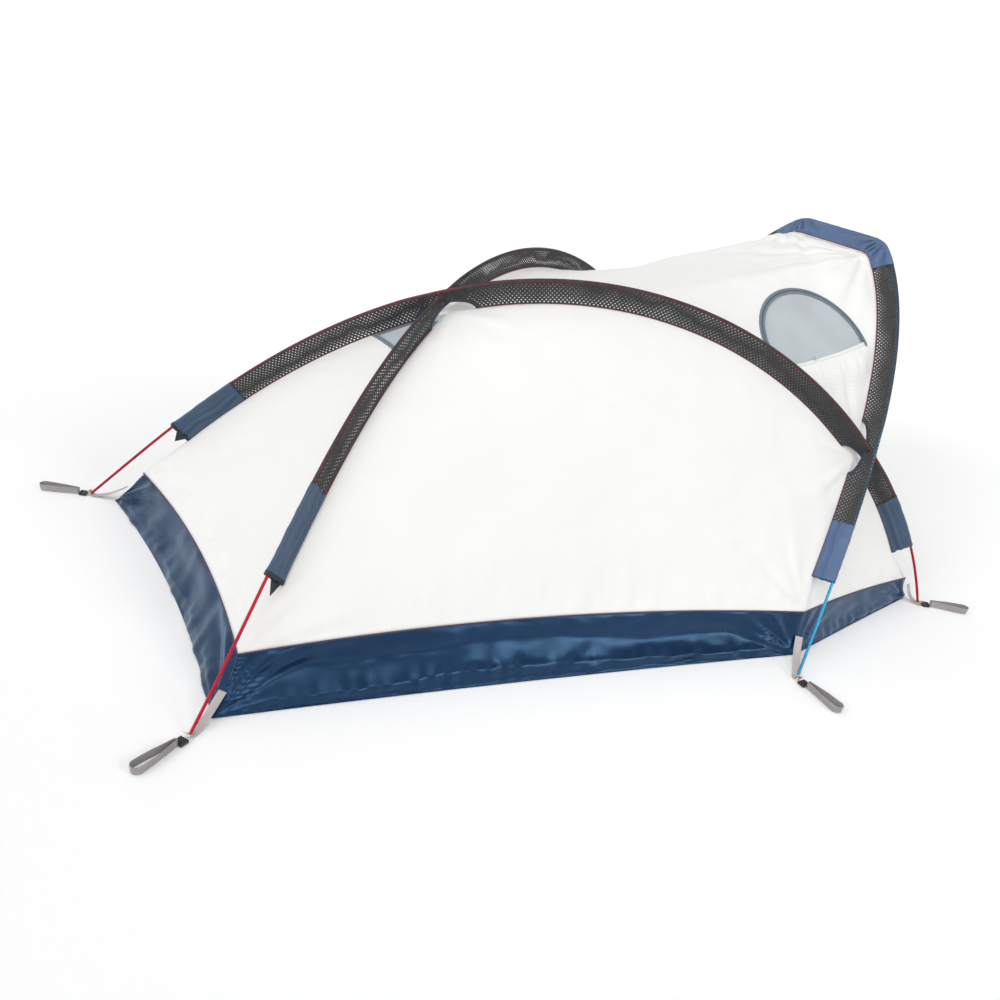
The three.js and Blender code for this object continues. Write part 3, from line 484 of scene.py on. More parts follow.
class Nodes:
    """A material and short ways to add and join its nodes."""
    def __init__(self, name):
        self.m = bpy.data.materials.new(name)
        self.m.use_nodes = True
        self.t = self.m.node_tree
        self.bsdf = self.t.nodes["Principled BSDF"]

    def new(self, kind, **values):
        node = self.t.nodes.new(kind)
        for key, value in values.items():
            if hasattr(node, key):
                setattr(node, key, value)
            else:
                node.inputs[key.replace("_", " ")].default_value = value
        return node

    def link(self, a, b):
        self.t.links.new(a, b)

    def math(self, op, a, b=None):
        node = self.new("ShaderNodeMath", operation=op)
        for k, x in enumerate((a, b)):
            if x is None:
                continue
            if isinstance(x, (int, float)):
                node.inputs[k].default_value = x
            else:
                self.link(x, node.inputs[k])
        return node.outputs[0]

    def noise(self, scale, detail=3, coords=None):
        node = self.new("ShaderNodeTexNoise", Scale=scale, Detail=detail)
        self.link(coords or self.objects(), node.inputs["Vector"])
        return node.outputs["Fac"]

    def objects(self):
        return self.new("ShaderNodeTexCoord").outputs["Object"]

    def uv(self):
        node = self.new("ShaderNodeUVMap", uv_map=UV)
        split = self.new("ShaderNodeSeparateXYZ")
        self.link(node.outputs[0], split.inputs[0])
        return split.outputs[0], split.outputs[1]

    def ramp(self, fac, stops):
        node = self.new("ShaderNodeValToRGB")
        while len(node.color_ramp.elements) < len(stops):
            node.color_ramp.elements.new(0.5)
        for element, (at, colour) in zip(node.color_ramp.elements, stops):
            element.position = at
            element.color = (*colour, 1)
        self.link(fac, node.inputs[0])
        return node.outputs[0]

    def mix(self, fac, a, b):
        node = self.new("ShaderNodeMix", data_type="RGBA")
        for socket, x in ((node.inputs[0], fac), (node.inputs[6], a), (node.inputs[7], b)):
            if isinstance(x, (int, float)):
                socket.default_value = x
            elif isinstance(x, tuple):
                socket.default_value = (*x, 1)
            else:
                self.link(x, socket)
        return node.outputs[2]

    def bump(self, height, strength, distance=0.001):
        node = self.new("ShaderNodeBump", Strength=strength, Distance=distance)
        self.link(height, node.inputs["Height"])
        self.link(node.outputs[0], self.bsdf.inputs["Normal"])

    def set(self, **values):
        for key, value in values.items():
            self.bsdf.inputs[key.replace("_", " ")].default_value = value
        return self


def shade(c, k):
    return tuple(min(1.0, x * k) for x in c)


def cloth(name, colour, rough=0.7, weave=0.0012, grid=None, vary=0.06, strength=0.25, crease=0.0, slow=7.0):
    """Woven cloth: threads both ways, optional ripstop grid, slow colour change, small creases."""
    n = Nodes(name)
    u, v = n.uv()
    threads = n.math("MULTIPLY", n.math("SINE", n.math("MULTIPLY", u, 2 * math.pi / weave)),
                     n.math("SINE", n.math("MULTIPLY", v, 2 * math.pi / weave)))
    tone = n.ramp(n.noise(slow, 4), [(0.3, shade(colour, 1 - vary)), (0.7, shade(colour, 1 + vary))])
    tone = n.mix(n.math("MULTIPLY", n.math("ADD", threads, 1.0), 0.08), tone, shade(colour, 0.72))
    height = n.math("MULTIPLY", threads, 0.5)
    if grid:
        lines = [n.math("GREATER_THAN", n.math("PINGPONG", x, grid / 2), grid * 0.44) for x in (u, v)]
        lines = n.math("MAXIMUM", *lines)
        tone = n.mix(n.math("MULTIPLY", lines, 0.16), tone, shade(colour, 0.6))
        height = n.math("ADD", height, lines)
    if crease:
        height = n.math("ADD", height, n.math("MULTIPLY", n.noise(38, 5), crease))
    n.link(tone, n.bsdf.inputs["Base Color"])
    rough_map = n.new("ShaderNodeMapRange", To_Min=rough - 0.06, To_Max=rough + 0.06)
    n.link(n.noise(24, 3), rough_map.inputs["Value"])
    n.link(rough_map.outputs[0], n.bsdf.inputs["Roughness"])
    n.bump(height, strength)
    return n


def hard(name, colour, rough, metal, scratch=0.0, vary=0.08, scale=60, bump=0.1):
    n = Nodes(name)
    grain = n.noise(scale, 4)
    tone = n.ramp(grain, [(0.3, shade(colour, 1 - vary)), (0.7, shade(colour, 1 + vary))])
    n.link(tone, n.bsdf.inputs["Base Color"])
    rough_map = n.new("ShaderNodeMapRange", To_Min=max(rough - 0.08, 0.05), To_Max=rough + 0.08 + scratch)
    n.link(n.noise(scale * 2.2, 3), rough_map.inputs["Value"])
    n.link(rough_map.outputs[0], n.bsdf.inputs["Roughness"])
    n.set(Metallic=metal)
    n.bump(n.noise(scale * 9, 3), bump, 0.0004)
    return n


CANOPY = cloth("canopy_ripstop", (0.818, 0.813, 0.798), 0.62, 0.0009, 0.0055, 0.012, 0.10, 0.25, 2.5)
CANOPY.set(Sheen_Weight=0.15, Sheen_Roughness=0.5, Specular_IOR_Level=0.35)
NYLON = cloth("sleeve_nylon", (0.030, 0.066, 0.126), 0.36, 0.0010, None, 0.10, 0.2, 0.5, 14.0)
NYLON.set(Sheen_Weight=0.2, Sheen_Roughness=0.4)
# Lighter blue nylon for the hoop's cover; it is also put on the hoop's foot-end sleeves as painted light, a
# lit copy of the sleeve nylon.
COVER_AND_LIT_NYLON = cloth("cover_and_lit_sleeve_nylon", (0.062, 0.118, 0.235), 0.33, 0.0010, None, 0.10, 0.2, 0.5, 14.0)
COVER_AND_LIT_NYLON.set(Sheen_Weight=0.25, Sheen_Roughness=0.4)
DARK_NYLON = cloth("dark_nylon", (0.012, 0.020, 0.028), 0.6, 0.0010, None, 0.15, 0.2, 0.3, 14.0)
FLOOR = cloth("coated_floor", (0.0010, 0.0100, 0.040), 0.25, 0.0014, None, 0.12, 0.10, 0.22, 5.0)
FLOOR.set(Metallic=0.0, Specular_IOR_Level=0.85, Specular_Tint=(0.28, 0.60, 1.0, 1))
FLOOR.set(Sheen_Weight=0.6, Sheen_Roughness=0.35, Sheen_Tint=(0.35, 0.62, 1.0, 1))
NET = cloth("sleeve_net", (0.036, 0.035, 0.037), 0.55, 0.0012, None, 0.25, 0.3, 0.4, 60.0)
WEB = cloth("corner_webbing", (0.60, 0.54, 0.54), 0.8, 0.0022, None, 0.10, 0.8, 0.3, 30.0)
LOOP_WEB = cloth("loop_webbing", (0.36, 0.335, 0.345), 0.8, 0.0022, None, 0.12, 0.8, 0.3, 30.0)
PIPING = cloth("rim_piping", (0.050, 0.045, 0.095), 0.6, 0.0012, None, 0.10, 0.4, 0.3, 20.0)
BINDING = cloth("seam_binding", (0.17, 0.025, 0.045), 0.6, 0.0012, None, 0.2, 0.4, 0.2, 30.0)
NAVY_TAPE = cloth("notch_tape", (0.025, 0.040, 0.075), 0.6, 0.0012, None, 0.2, 0.4, 0.2, 30.0)
SLATE = cloth("zip_tape", (0.155, 0.205, 0.245), 0.7, 0.0016, None, 0.10, 0.5, 0.3, 20.0)
DARK_ZIP = cloth("zip_coil", (0.075, 0.10, 0.125), 0.45, 0.0011, None, 0.1, 0.4, 0.2, 30.0)
THREAD = cloth("thread", (0.60, 0.57, 0.55), 0.7, 0.0006, None, 0.1, 0.3, 0.2, 60.0)
PANE = cloth("insect_mesh", (0.60, 0.655, 0.69), 0.75, 0.0016, 0.0032, 0.06, 0.5, 0.3, 9.0)
PANE.set(Alpha=0.86)
VENT = cloth("vent_mesh", (0.60, 0.65, 0.69), 0.75, 0.0016, 0.0032, 0.05, 0.5, 0.3, 9.0)
VENT.set(Alpha=0.88)
RED = hard("anodised_red", (0.42, 0.010, 0.030), 0.30, 0.7, 0.08, 0.08, 90, 0.06)
BLUE = hard("anodised_blue", (0.03, 0.27, 0.50), 0.28, 0.75, 0.08, 0.08, 90, 0.06)
STEEL = hard("pole_tip_metal", (0.72, 0.72, 0.74), 0.28, 1.0, 0.1, 0.06, 120, 0.08)
BRASS = hard("grommet_brass", (0.72, 0.42, 0.20), 0.32, 1.0, 0.15, 0.15, 160, 0.1)
PLASTIC = hard("black_plastic", (0.020, 0.020, 0.022), 0.42, 0.0, 0.1, 0.2, 140, 0.2)


def finish_piece(piece, body, slot, *nodes):
    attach(piece, body)
    if nodes:
        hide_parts(*nodes)
    return piece


def modifier(piece, kind, **values):
    m = piece.modifiers.new(kind.lower(), kind)
    for key, value in values.items():
        setattr(m, key, value)
    return m


BODY = "tent_body"


def grid_piece(name, points, material, slot, *nodes, body=BODY, close=False, weld=None, thick=None, uv=None):
    """One grid of points as a piece of its own, with a thickness where it is given one."""
    builder = Builder()
    builder.grid(points, close=close, uv=uv)
    piece = builder.build(name, [material.m], weld=weld)
    if thick:
        modifier(piece, "SOLIDIFY", thickness=thick, offset=0)
    return finish_piece(piece, body, slot, *nodes)


# ---- Poles: tubes with section joints and plain metal tips ----

SECTION = 0.395
TIP_LENGTH = 0.008


def pole(name, curve, steps, material, slot):
    length = curve.length
    joints = np.arange(1, int(length / SECTION) + 1) * length / (int(length / SECTION) + 1)
    d = set(np.linspace(0.0026, length - 0.0026, steps))
    for j in joints:
        d |= {j - 0.0016, j - 0.0010, j - 0.0004, j + 0.0004, j + 0.0010, j + 0.0016}
    d = np.array(sorted(d))
    near = np.abs(d[:, None] - joints[None]).min(1)
    r = np.where(near < 0.0006, POLE_RADIUS - 0.0006, POLE_RADIUS)
    r[0] = r[-1] = POLE_RADIUS * 0.86
    b = Builder()
    b.grid(tube(curve.at(d), r, 16), close=True, mat=0)
    for end, sign in ((0.0, 1.0), (length, -1.0)):
        t = curve.tangent(np.array([end]))[0] * sign
        at = curve.at(np.array([end]))[0]
        outside = np.array([0, 0.0007, 0.002]) - TIP_LENGTH
        steps_along = np.r_[outside, 0.001, 0.0027, 0.0030]
        radii = np.array([0.0016, 0.0023, 0.0027, 0.0030, 0.0030, POLE_RADIUS * 0.9])
        b.grid(capped(tube(at + t * steps_along[:, None], radii, 16)), close=True, mat=1)
    piece = b.build(name + "_tube", [material.m, STEEL.m])
    return finish_piece(piece, BODY, slot, name)


pole("pole_red_over", over, 150, RED, "pole_red")
pole("pole_red_under", under, 150, RED, "pole_red")
pole("pole_blue_hoop", hoop, 260, BLUE, "pole_blue")

# ---- Wrinkles: smooth seeded ripples ----


def ripple(points, seed, waves, low, high):
    """Smooth noise about -1..1 at points, a sum of waves with lengths from low to high metres."""
    rng = np.random.default_rng(seed)
    direction = unit(rng.normal(size=(waves, points.shape[-1])))
    length = low * (high / low) ** rng.random(waves)
    phase = rng.random(waves) * 2 * np.pi
    total = sum(np.sin(points @ direction[k] * (2 * np.pi / length[k]) + phase[k]) for k in range(waves))
    return total / math.sqrt(waves / 2) * 0.6


def normals(p):
    return unit(np.cross(np.gradient(p, axis=1), np.gradient(p, axis=0)))


def fan(p, corner, amplitude, count, reach, seed):
    """Folds that spread from a corner like rays and fade with distance."""
    q = p - corner
    r = np.linalg.norm(q, axis=-1)
    centre = unit((p.reshape(-1, 3).mean(0) - corner)[None])[0]
    n = normals(p)[p.shape[0] // 2, p.shape[1] // 2]
    side = np.cross(n, centre)
    angle = np.arctan2(q @ side, q @ centre)
    wave = np.sin(angle * count + seed) + 0.5 * np.sin(angle * count * 1.7 + seed * 2.3)
    return amplitude * wave * smooth(r, 0.01, 0.06) * np.exp(-((r / reach) ** 2))


def edge_gap(p):
    """Distance in metres from each grid point to its grid's sides, to its ends, and to its first row."""
    wide, high = (np.linalg.norm(np.diff(p, axis=k), axis=2) for k in (1, 0))
    across = np.cumsum(np.concatenate([np.zeros_like(wide[:, :1]), wide], 1), 1)
    along = np.cumsum(np.concatenate([np.zeros_like(high[:1]), high], 0), 0)
    return (np.minimum(across, across[:, -1:] - across), np.minimum(along, along[-1:] - along), along)


def wrinkled(p, seed, fans=(), pucker=0.0, mask=None, broad=0.0016):
    across, ends, height = edge_gap(p)
    hold = smooth(across, 0, 0.03) * smooth(ends, 0, 0.03)
    offset = broad * ripple(p, seed, 14, 0.16, 0.50) + 0.0009 * ripple(p, seed + 1, 18, 0.05, 0.13)
    for corner, amplitude, count, reach in fans:
        offset = offset + fan(p, corner, amplitude, count, reach, seed)
    if pucker:
        stretch = p * [1, 1, 0.12]
        fine = ripple(stretch, seed + 2, 16, 0.028, 0.080) * smooth(height, 0.0, 0.012)
        coarse = ripple(stretch, seed + 3, 12, 0.05, 0.14)
        offset = offset + pucker * fine * (1 - smooth(height, 0.02, 0.19))
        offset = offset + 0.6 * pucker * coarse * (1 - smooth(height, 0.05, 0.30))
    if mask is not None:
        offset = offset * mask
    return p + normals(p) * (offset * hold)[..., None]


def plane_uv(p):
    q = p.reshape(-1, 3)
    c = q.mean(0)
    _, _, axes = np.linalg.svd(q - c, full_matrices=False)
    return ((q - c) @ axes[:2].T).reshape(*p.shape[:2], 2)


# ---- Canopy: one welded sheet of off-white ripstop ----

ROWS, COLUMNS, BAR_COLUMNS, UPPER_ROWS = 90, 126, 40, 60
VENT_ROW = 72
WELD = 0.0004
share_rows = np.linspace(0, 1, ROWS + 1)
share_columns = np.linspace(0, 1, COLUMNS + 1)
upper = np.linspace(0, 1, UPPER_ROWS + 1)
canopy = Builder()


def surface_grid(surface, columns, rows):
    u, v = np.meshgrid(columns, rows)
    return surface(u, v)


def both_sides(grid, seed, fans, pucker, broad=0.0016):
    """Adds a near panel and its far twin to the canopy, each wrinkled from its own seed."""
    for k, (side, flat) in enumerate(((np.ones(3), grid), (MIRROR, (grid * MIRROR)[:, ::-1]))):
        folds = [(corner * side, *fold) for corner, *fold in fans]
        p = wrinkled(flat, seed + 10 * k, folds, pucker, broad=broad)
        canopy.grid(p, uv=plane_uv(p))


foot_grid = surface_grid(foot_surface, np.linspace(0, 1, 84), share_rows)
foot_grid = wrinkled(foot_grid, 11, [
    (rim["foot"], 0.0030, 13, 0.22), (rim["foot"] * MIRROR, 0.0030, 13, 0.22)], 0.0022)
canopy.grid(foot_grid[:VENT_ROW + 1], uv=plane_uv(foot_grid[:VENT_ROW + 1]))

side_grid = surface_grid(side_surface, share_columns, share_rows)
both_sides(side_grid, 21, [
    (rim["foot"], 0.0036, 15, 0.26), (rim["hoop"], 0.0030, 14, 0.24),
    (shoulder, 0.0026, 12, 0.22), (apex, 0.0022, 14, 0.20)], 0.0024, 0.0021)

corner_grid = surface_grid(corner_surface, np.linspace(0, 1, 40), share_rows)
both_sides(corner_grid, 41, [
    (rim["hoop"], 0.0026, 13, 0.16), (rim["head"], 0.0026, 13, 0.16), (shoulder, 0.0022, 12, 0.16)], 0.0024)

split = np.r_[np.linspace(0, 1, ROWS + 1) * head_seam.length, head_seam.length + upper[1:] * high_length]
wing_rows = split / split[-1]
wing_grid = surface_grid(wing_surface, np.linspace(0, 1, 34), wing_rows)
both_sides(wing_grid, 61, [(elbow_seam, 0.0022, 10, 0.22), (shoulder, 0.002, 10, 0.2)], 0.0020)

corner_reach = high_length / half_span
bar = np.linspace(-(1 - corner_reach), 1 - corner_reach, BAR_COLUMNS + 1)
across_roof = np.r_[-1 + upper * corner_reach, bar[1:-1], (1 - upper * corner_reach)[::-1]]
roof_grid = surface_grid(flattened_roof, share_columns, (across_roof + 1) / 2)


SILL_SAG = 0.009


def sill_at(x):
    """The sill's height on the window's flat at a distance x along it: it hangs in a shallow curve."""
    return pane.sill - SILL_SAG * (1 - np.minimum((x / pane.radius) ** 2, 1))


def mirror_half(p):
    """The near half's copy of points, and which of them were on the far side."""
    far = p[..., 1] > 0
    return np.where(far[..., None], p * MIRROR, p), far


def window_gap(p):
    """How far points are outside the nearest window's outline, in metres."""
    q = pane.local(mirror_half(p)[0])
    return np.maximum(np.hypot(q[..., 0], q[..., 1]) - pane.radius, sill_at(q[..., 0]) - q[..., 1])


gap = window_gap(roof_grid)
below_sill = pane.local(mirror_half(roof_grid)[0])
pleats = 0.0025 * np.sin(below_sill[..., 0] * 2 * np.pi / 0.034 + 2.0 * np.sin(below_sill[..., 0] * 23))
pleats = pleats * smooth(gap, 0.008, 0.022) * (1 - smooth(pane.sill - below_sill[..., 1], 0.03, 0.13))
pleats = pleats * smooth(pane.radius - np.abs(below_sill[..., 0]), -0.03, 0.05)
pleats = pleats * (below_sill[..., 1] < pane.sill)
roof_flat = roof_grid + normals(roof_grid) * pleats[..., None]
roof_fans = [(apex, 0.0024, 12, 0.26)]
for _, side in SIDES:
    roof_fans += [(shoulder * side, 0.0040, 15, 0.30), (elbow_seam * side, 0.0052, 15, 0.42)]
roof_wrinkled = wrinkled(roof_flat, 81, roof_fans, mask=smooth(gap, 0.012, 0.05), broad=0.0022)
canopy.grid(roof_wrinkled, uv=plane_uv(roof_grid))

ZIP_SEAT = 0.006


def doorway_gap(y, h, half):
    top = DOOR_SILL + DOOR_SIDE
    return np.where(h > top, np.hypot(y, h - top) - half, np.maximum(np.abs(y) - half, DOOR_SILL - h))


door_height = np.linalg.norm(flat_top[[0, 2]] - flat_foot[[0, 2]])
half_width = FLAT_HALF + (-flat_top[1] - FLAT_HALF) * wing_rows
door_y = half_width[:, None] * np.linspace(-1, 1, BAR_COLUMNS + 1)[None]
door_h = np.broadcast_to((wing_rows * door_height)[:, None], door_y.shape)
door_grid = wrinkled(
    door_point(door_y, door_h), 91, [(flat_top, 0.0030, 11, 0.22), (flat_top * MIRROR, 0.0030, 11, 0.22)],
    mask=smooth(doorway_gap(door_y, door_h, DOOR_HALF), 0.035, 0.09), broad=0.0026)
canopy.grid(door_grid, uv=np.stack([door_y, door_h], -1))

canopy_piece = canopy.build("canopy", [CANOPY.m], weld=WELD)
bm = bmesh.new()
bm.from_mesh(canopy_piece.data)
bm.verts.ensure_lookup_table()


def door_local(p):
    q = p - door_base
    return q[..., 1], q @ door_up, q @ door_out


centres = np.array([f.calc_center_median() for f in bm.faces])
y, h, lift = door_local(centres)
in_door = (np.abs(lift) < 0.001) & (doorway_gap(y, h, DOOR_HALF + ZIP_SEAT) < 0)
flat_local = pane.local(mirror_half(centres)[0])
seat = pane.radius + ZIP_SEAT
past_arc = np.hypot(flat_local[:, 0], flat_local[:, 1]) - seat
past_sill = sill_at(flat_local[:, 0]) - flat_local[:, 1]
in_window = (np.abs(flat_local[:, 2]) < 0.004) & (np.maximum(past_arc, past_sill) < 0)
gone = [f for f, a, b in zip(list(bm.faces), in_door, in_window) if a or b]
bmesh.ops.delete(bm, geom=gone, context="FACES")
edge_verts = {v for e in bm.edges if e.is_boundary for v in e.verts}
for v in edge_verts:
    p = np.array(v.co)
    y, h, lift = (float(x) for x in door_local(p))
    near, far = mirror_half(p)
    q = pane.local(near)
    r = math.hypot(q[0], q[1])
    top = DOOR_SILL + DOOR_SIDE
    half = DOOR_HALF + ZIP_SEAT
    if abs(lift) < 0.001 and abs(doorway_gap(y, h, half)) < 0.035 and h > 0.004:
        if h > top:
            scale = half / math.hypot(y, h - top)
            y, h = y * scale, top + (h - top) * scale
        elif half - abs(y) < 0.03 and h > DOOR_SILL + 0.004:
            y = math.copysign(half, y)
        else:
            h = DOOR_SILL
        v.co = door_point(np.array(y), np.array(h))
    elif abs(q[2]) < 0.004 and abs(max(r - seat, sill_at(q[0]) - q[1])) < 0.02:
        if q[1] - sill_at(q[0]) < 0.010 and r < seat + 0.006:
            q[0] = max(-seat, min(seat, q[0]))
            q[1] = sill_at(q[0])
        else:
            q[0], q[1] = q[0] * seat / r, q[1] * seat / r
            q[1] = max(q[1], sill_at(q[0]))
        world = pane.world(np.array(q[0]), np.array(q[1]), np.array(q[2]))
        v.co = world * MIRROR if far else world
bm.to_mesh(canopy_piece.data)
bm.free()
modifier(canopy_piece, "SOLIDIFY", thickness=CANOPY_CLOTH, offset=0)
finish_piece(
    canopy_piece, BODY, "canopy_cloth", "foot_panel", "side_panel_near", "side_panel_far",
    "corner_panel_near", "corner_panel_far", "door_wing_near", "door_wing_far", "roof_panel",
    "door_end_panel")

# ---- Foot vent: a net top to the foot panel, with a slate band along its lower edge ----

vent_grid = foot_grid[VENT_ROW:]
vent_piece = grid_piece(
    "foot_vent_net", vent_grid, VENT, "vent_mesh", "foot_vent", weld=0.00005, uv=plane_uv(vent_grid))


def band(name, path, outward, width, material, slot, thick=0.0012, rows=True, body=BODY):
    """A flat tape laid outside a path, with a stitch row at each edge."""
    t = unit(np.gradient(path, axis=0))
    out = np.broadcast_to(outward, path.shape)
    across = unit(np.cross(out, t))
    b = Builder()
    b.grid(ribbon(path + out * thick / 2, across, width, thick), close=True)
    if rows:
        for k in (-1, 1):
            stitches(b, path + out * thick + across * k * (width / 2 - 0.0022), out, 1)
    piece = b.build(name, [material.m, THREAD.m])
    return finish_piece(piece, body, slot)


vent_edge = foot_grid[VENT_ROW]
vent_out = -normals(foot_grid)[VENT_ROW]
vent_out = np.where((vent_out[:, :1] > 0), -vent_out, vent_out)
band("foot_vent_band", vent_edge, vent_out, 0.014, SLATE, "zip_tape")
for k, side in (("near", 0), ("far", -1)):
    edge = foot_grid[VENT_ROW:-4, side]
    inward = foot_grid[VENT_ROW:-4, 1 if side == 0 else -2]
    edge = edge + unit(inward - edge) * 0.012
    out = -normals(foot_grid)[VENT_ROW:-4, side]
    out = np.where(out[:, :1] > 0, -out, out)
    band("foot_vent_side_" + k, edge, out, 0.012, SLATE, "zip_tape", rows=False)

# ---- Sleeves ----

NET_PITCH_ALONG, NET_PITCH_AROUND = 0.0124, 0.0116
NET_CUTS = 0.095
NET_LEFT, NET_HOLE = 0.030, 0.52
NET_GIRTH, SLEEVE_GIRTH = 2 * SLEEVE_WIDTH + 0.021, 0.158
SLEEVE_RADIUS, TIGHT_RADIUS = 0.0064, 0.0048
SLEEVE_CLOTH, HEM_CLOTH, TAIL_CLOTH = 0.0005, 0.0009, 0.0012
SEAM_GAP, SEAM_CORD_RADIUS, HEM_WIDTH = 0.0007, 0.0021, 0.011
NOTCH_TAPE_WIDTH, NOTCH_TAPE_THICK = 0.0110, 0.0052


class Sleeve:
    """Teardrop tube of cloth round a pole, closed along its seam; d runs along the pole, b round it."""
    def __init__(self, curve, seam, crossings, seed):
        self.curve, self.seam, self.crossings, self.seed = curve, seam, crossings, seed

    def frame(self, d):
        axis, seam = self.curve.at(d), self.seam(d)
        width = np.linalg.norm(seam - axis, axis=-1)
        x = unit(seam - axis)
        y = unit(np.cross(self.curve.tangent(d), x))
        return axis, x, y, width

    def near_crossing(self, d):
        return np.min([np.abs(d - c) for c in self.crossings], axis=0)

    def limit(self, d, width):
        x = np.clip(self.near_crossing(d) / NET_CUTS, 0, 1)
        return np.where(x < 1, width - (width - NET_LEFT) * np.sqrt(1 - x * x), width + 1)

    def section(self, d, b, grow=0.0, bulge=0.0016, pleat=0.0):
        """Returns points and their distance from the pole towards the seam."""
        d, b, grow = np.broadcast_arrays(d, b, grow)
        shape = d.shape
        d, b, grow = d.ravel(), b.ravel(), grow.ravel()
        axis, x, y, width = self.frame(d)
        gap = SEAM_GAP
        r = TIGHT_RADIUS + (SLEEVE_RADIUS - TIGHT_RADIUS) * smooth(self.near_crossing(d), 0.03, 0.12) + grow
        lean = np.arcsin((r - gap) / width)
        arc = r * (np.pi / 2 + lean)
        start = np.stack([r * np.sin(lean), r * np.cos(lean)], -1)
        run = np.hypot(width - start[:, 0], start[:, 1] - gap)
        along = (2 * b - 1) * (arc + run)
        side, m = np.where(along < 0, -1.0, 1.0), np.abs(along)
        theta = np.minimum(m, arc) / r
        f = np.clip((m - arc) / run, 0, 1)
        px = np.where(m < arc, -r * np.cos(theta), start[:, 0] * (1 - f) + width * f)
        py = np.where(m < arc, r * np.sin(theta), start[:, 1] * (1 - f) + (gap + grow) * f)
        here = np.stack([d, side * 3.0], -1)
        swell = 0.6 + 0.6 * ripple(here, self.seed, 10, 0.05, 0.30)
        py = py + np.sin(np.pi * f) * bulge * swell
        if pleat:
            folds = np.sin(f * 2 * np.pi * 2.6 + 1.2 * ripple(d[:, None], self.seed + 4, 6, 0.10, 0.4) + side)
            py = py + pleat * folds * smooth(f, 0.25, 0.5) * (1 - smooth(f, 0.93, 1.0))
        sway = 0.0022 * ripple(d[:, None], self.seed + 2, 8, 0.12, 0.5) * np.sin(np.pi * f)
        p = axis + x * px[:, None] + y * (py * side + sway)[:, None]
        return p.reshape(*shape, 3), px.reshape(shape)

    def net(self, name, a, b, nodes):
        columns = int(round((b - a) / (NET_PITCH_ALONG / 2)))
        rows = 2 * int(round(NET_GIRTH / NET_PITCH_AROUND))
        d = a + (b - a) * np.arange(columns + 1) / columns
        dd, bb = np.meshgrid(d, np.arange(rows + 1) / rows, indexing="ij")
        _, px = self.section(dd, bb)
        keep = px < self.limit(dd, self.frame(d)[3][:, None])
        builder = Builder()
        size = (b - a, NET_GIRTH)
        builder.net(lambda u, v: self.section(a + (b - a) * u, v)[0], columns, rows, size, NET_HOLE, keep)
        piece = builder.build(name, [NET.m], shade=False)
        modifier(piece, "SOLIDIFY", thickness=SLEEVE_CLOTH, offset=0)
        finish_piece(piece, BODY, "sleeve_mesh", *nodes)
        return piece

    def cloth(self, name, a, b, nodes=(), step=0.006, pleat=0.0, bulge=0.0016, flare=0.0,
              wrinkle=None, hem=()):
        d = np.linspace(a, b, int((b - a) / step) + 2)
        around = np.linspace(0, 1, 61)
        dd, bb = np.meshgrid(d, around, indexing="ij")
        near_hem = np.min([np.abs(dd - h) for h in hem], axis=0) if hem else np.full(dd.shape, 1.0)
        p, px = self.section(dd, bb, flare * (1 - smooth(near_hem, 0.0, 0.06)) + 0.0009, bulge, pleat)
        n = normals(p)
        offset = 0.0005 * ripple(p, self.seed + 9, 16, 0.02, 0.06)
        if wrinkle is not None:
            offset = offset + wrinkle(dd, px)
        hold = smooth(np.minimum(bb, 1 - bb), 0, 0.06)
        p = p + n * (offset * hold)[..., None]
        piece = grid_piece(name, p, NYLON, "blue_nylon", *nodes, thick=SLEEVE_CLOTH)
        for k, h in enumerate(hem):
            rows = h + np.linspace(0, HEM_WIDTH, 4) * (1 if h == a else -1)
            dd, bb = np.meshgrid(rows, around, indexing="ij")
            rim_points, _ = self.section(dd, bb, flare + 0.0017, bulge, pleat)
            grid_piece(name + "_hem_" + "ab"[k], rim_points, DARK_NYLON, "blue_nylon", thick=HEM_CLOTH)
        return piece

    def notch_tape(self, name, c):
        x = NET_CUTS * np.sin(np.linspace(-np.pi / 2, np.pi / 2, 60))
        d = c + x
        axis, xx, yy, width = self.frame(d)
        reach = width - (width - NET_LEFT) * np.sqrt(np.clip(1 - (x / NET_CUTS) ** 2, 0, 1))
        path = axis + xx * reach[:, None]
        inward = unit(np.cross(unit(np.gradient(path, axis=0)), yy))
        tape = capped(ribbon(path, inward, NOTCH_TAPE_WIDTH, NOTCH_TAPE_THICK))
        return grid_piece(name, tape, NAVY_TAPE, "blue_nylon", close=True)

    def gusset(self, name, d, sign, reach=0.046):
        """The dark pointed tail below a sleeve's open end."""
        rows = np.linspace(0, 1, 12)
        dd = d + sign * reach * rows
        axis, x, y, width = self.frame(dd)
        t = np.linspace(-1, 1, 13)
        low = SLEEVE_WIDTH * (0.17 + 0.47 * rows)
        high = SLEEVE_WIDTH * (0.97 - 0.33 * rows)
        px = ((low + high) / 2)[:, None] + ((high - low) / 2)[:, None] * t[None]
        py = 0.0035 * np.cos(t * np.pi / 2)[None] * (1 - rows)[:, None] ** 0.5
        p = axis[:, None] + x[:, None] * px[..., None] + y[:, None] * py[..., None]
        return grid_piece(name, p, DARK_NYLON, "blue_nylon", weld=0.00005, thick=TAIL_CLOTH)

    def seam_cord(self, name, spans):
        builder = Builder()
        for a, b in spans:
            d = np.linspace(a, b, int((b - a) / 0.008) + 2)
            builder.grid(capped(tube(self.seam(d), SEAM_CORD_RADIUS, 8)), close=True)
        piece = builder.build(name, [BINDING.m])
        return finish_piece(piece, BODY, "sleeve_mesh")


def arch_under_seam(d):
    return arch_seam(d) * MIRROR


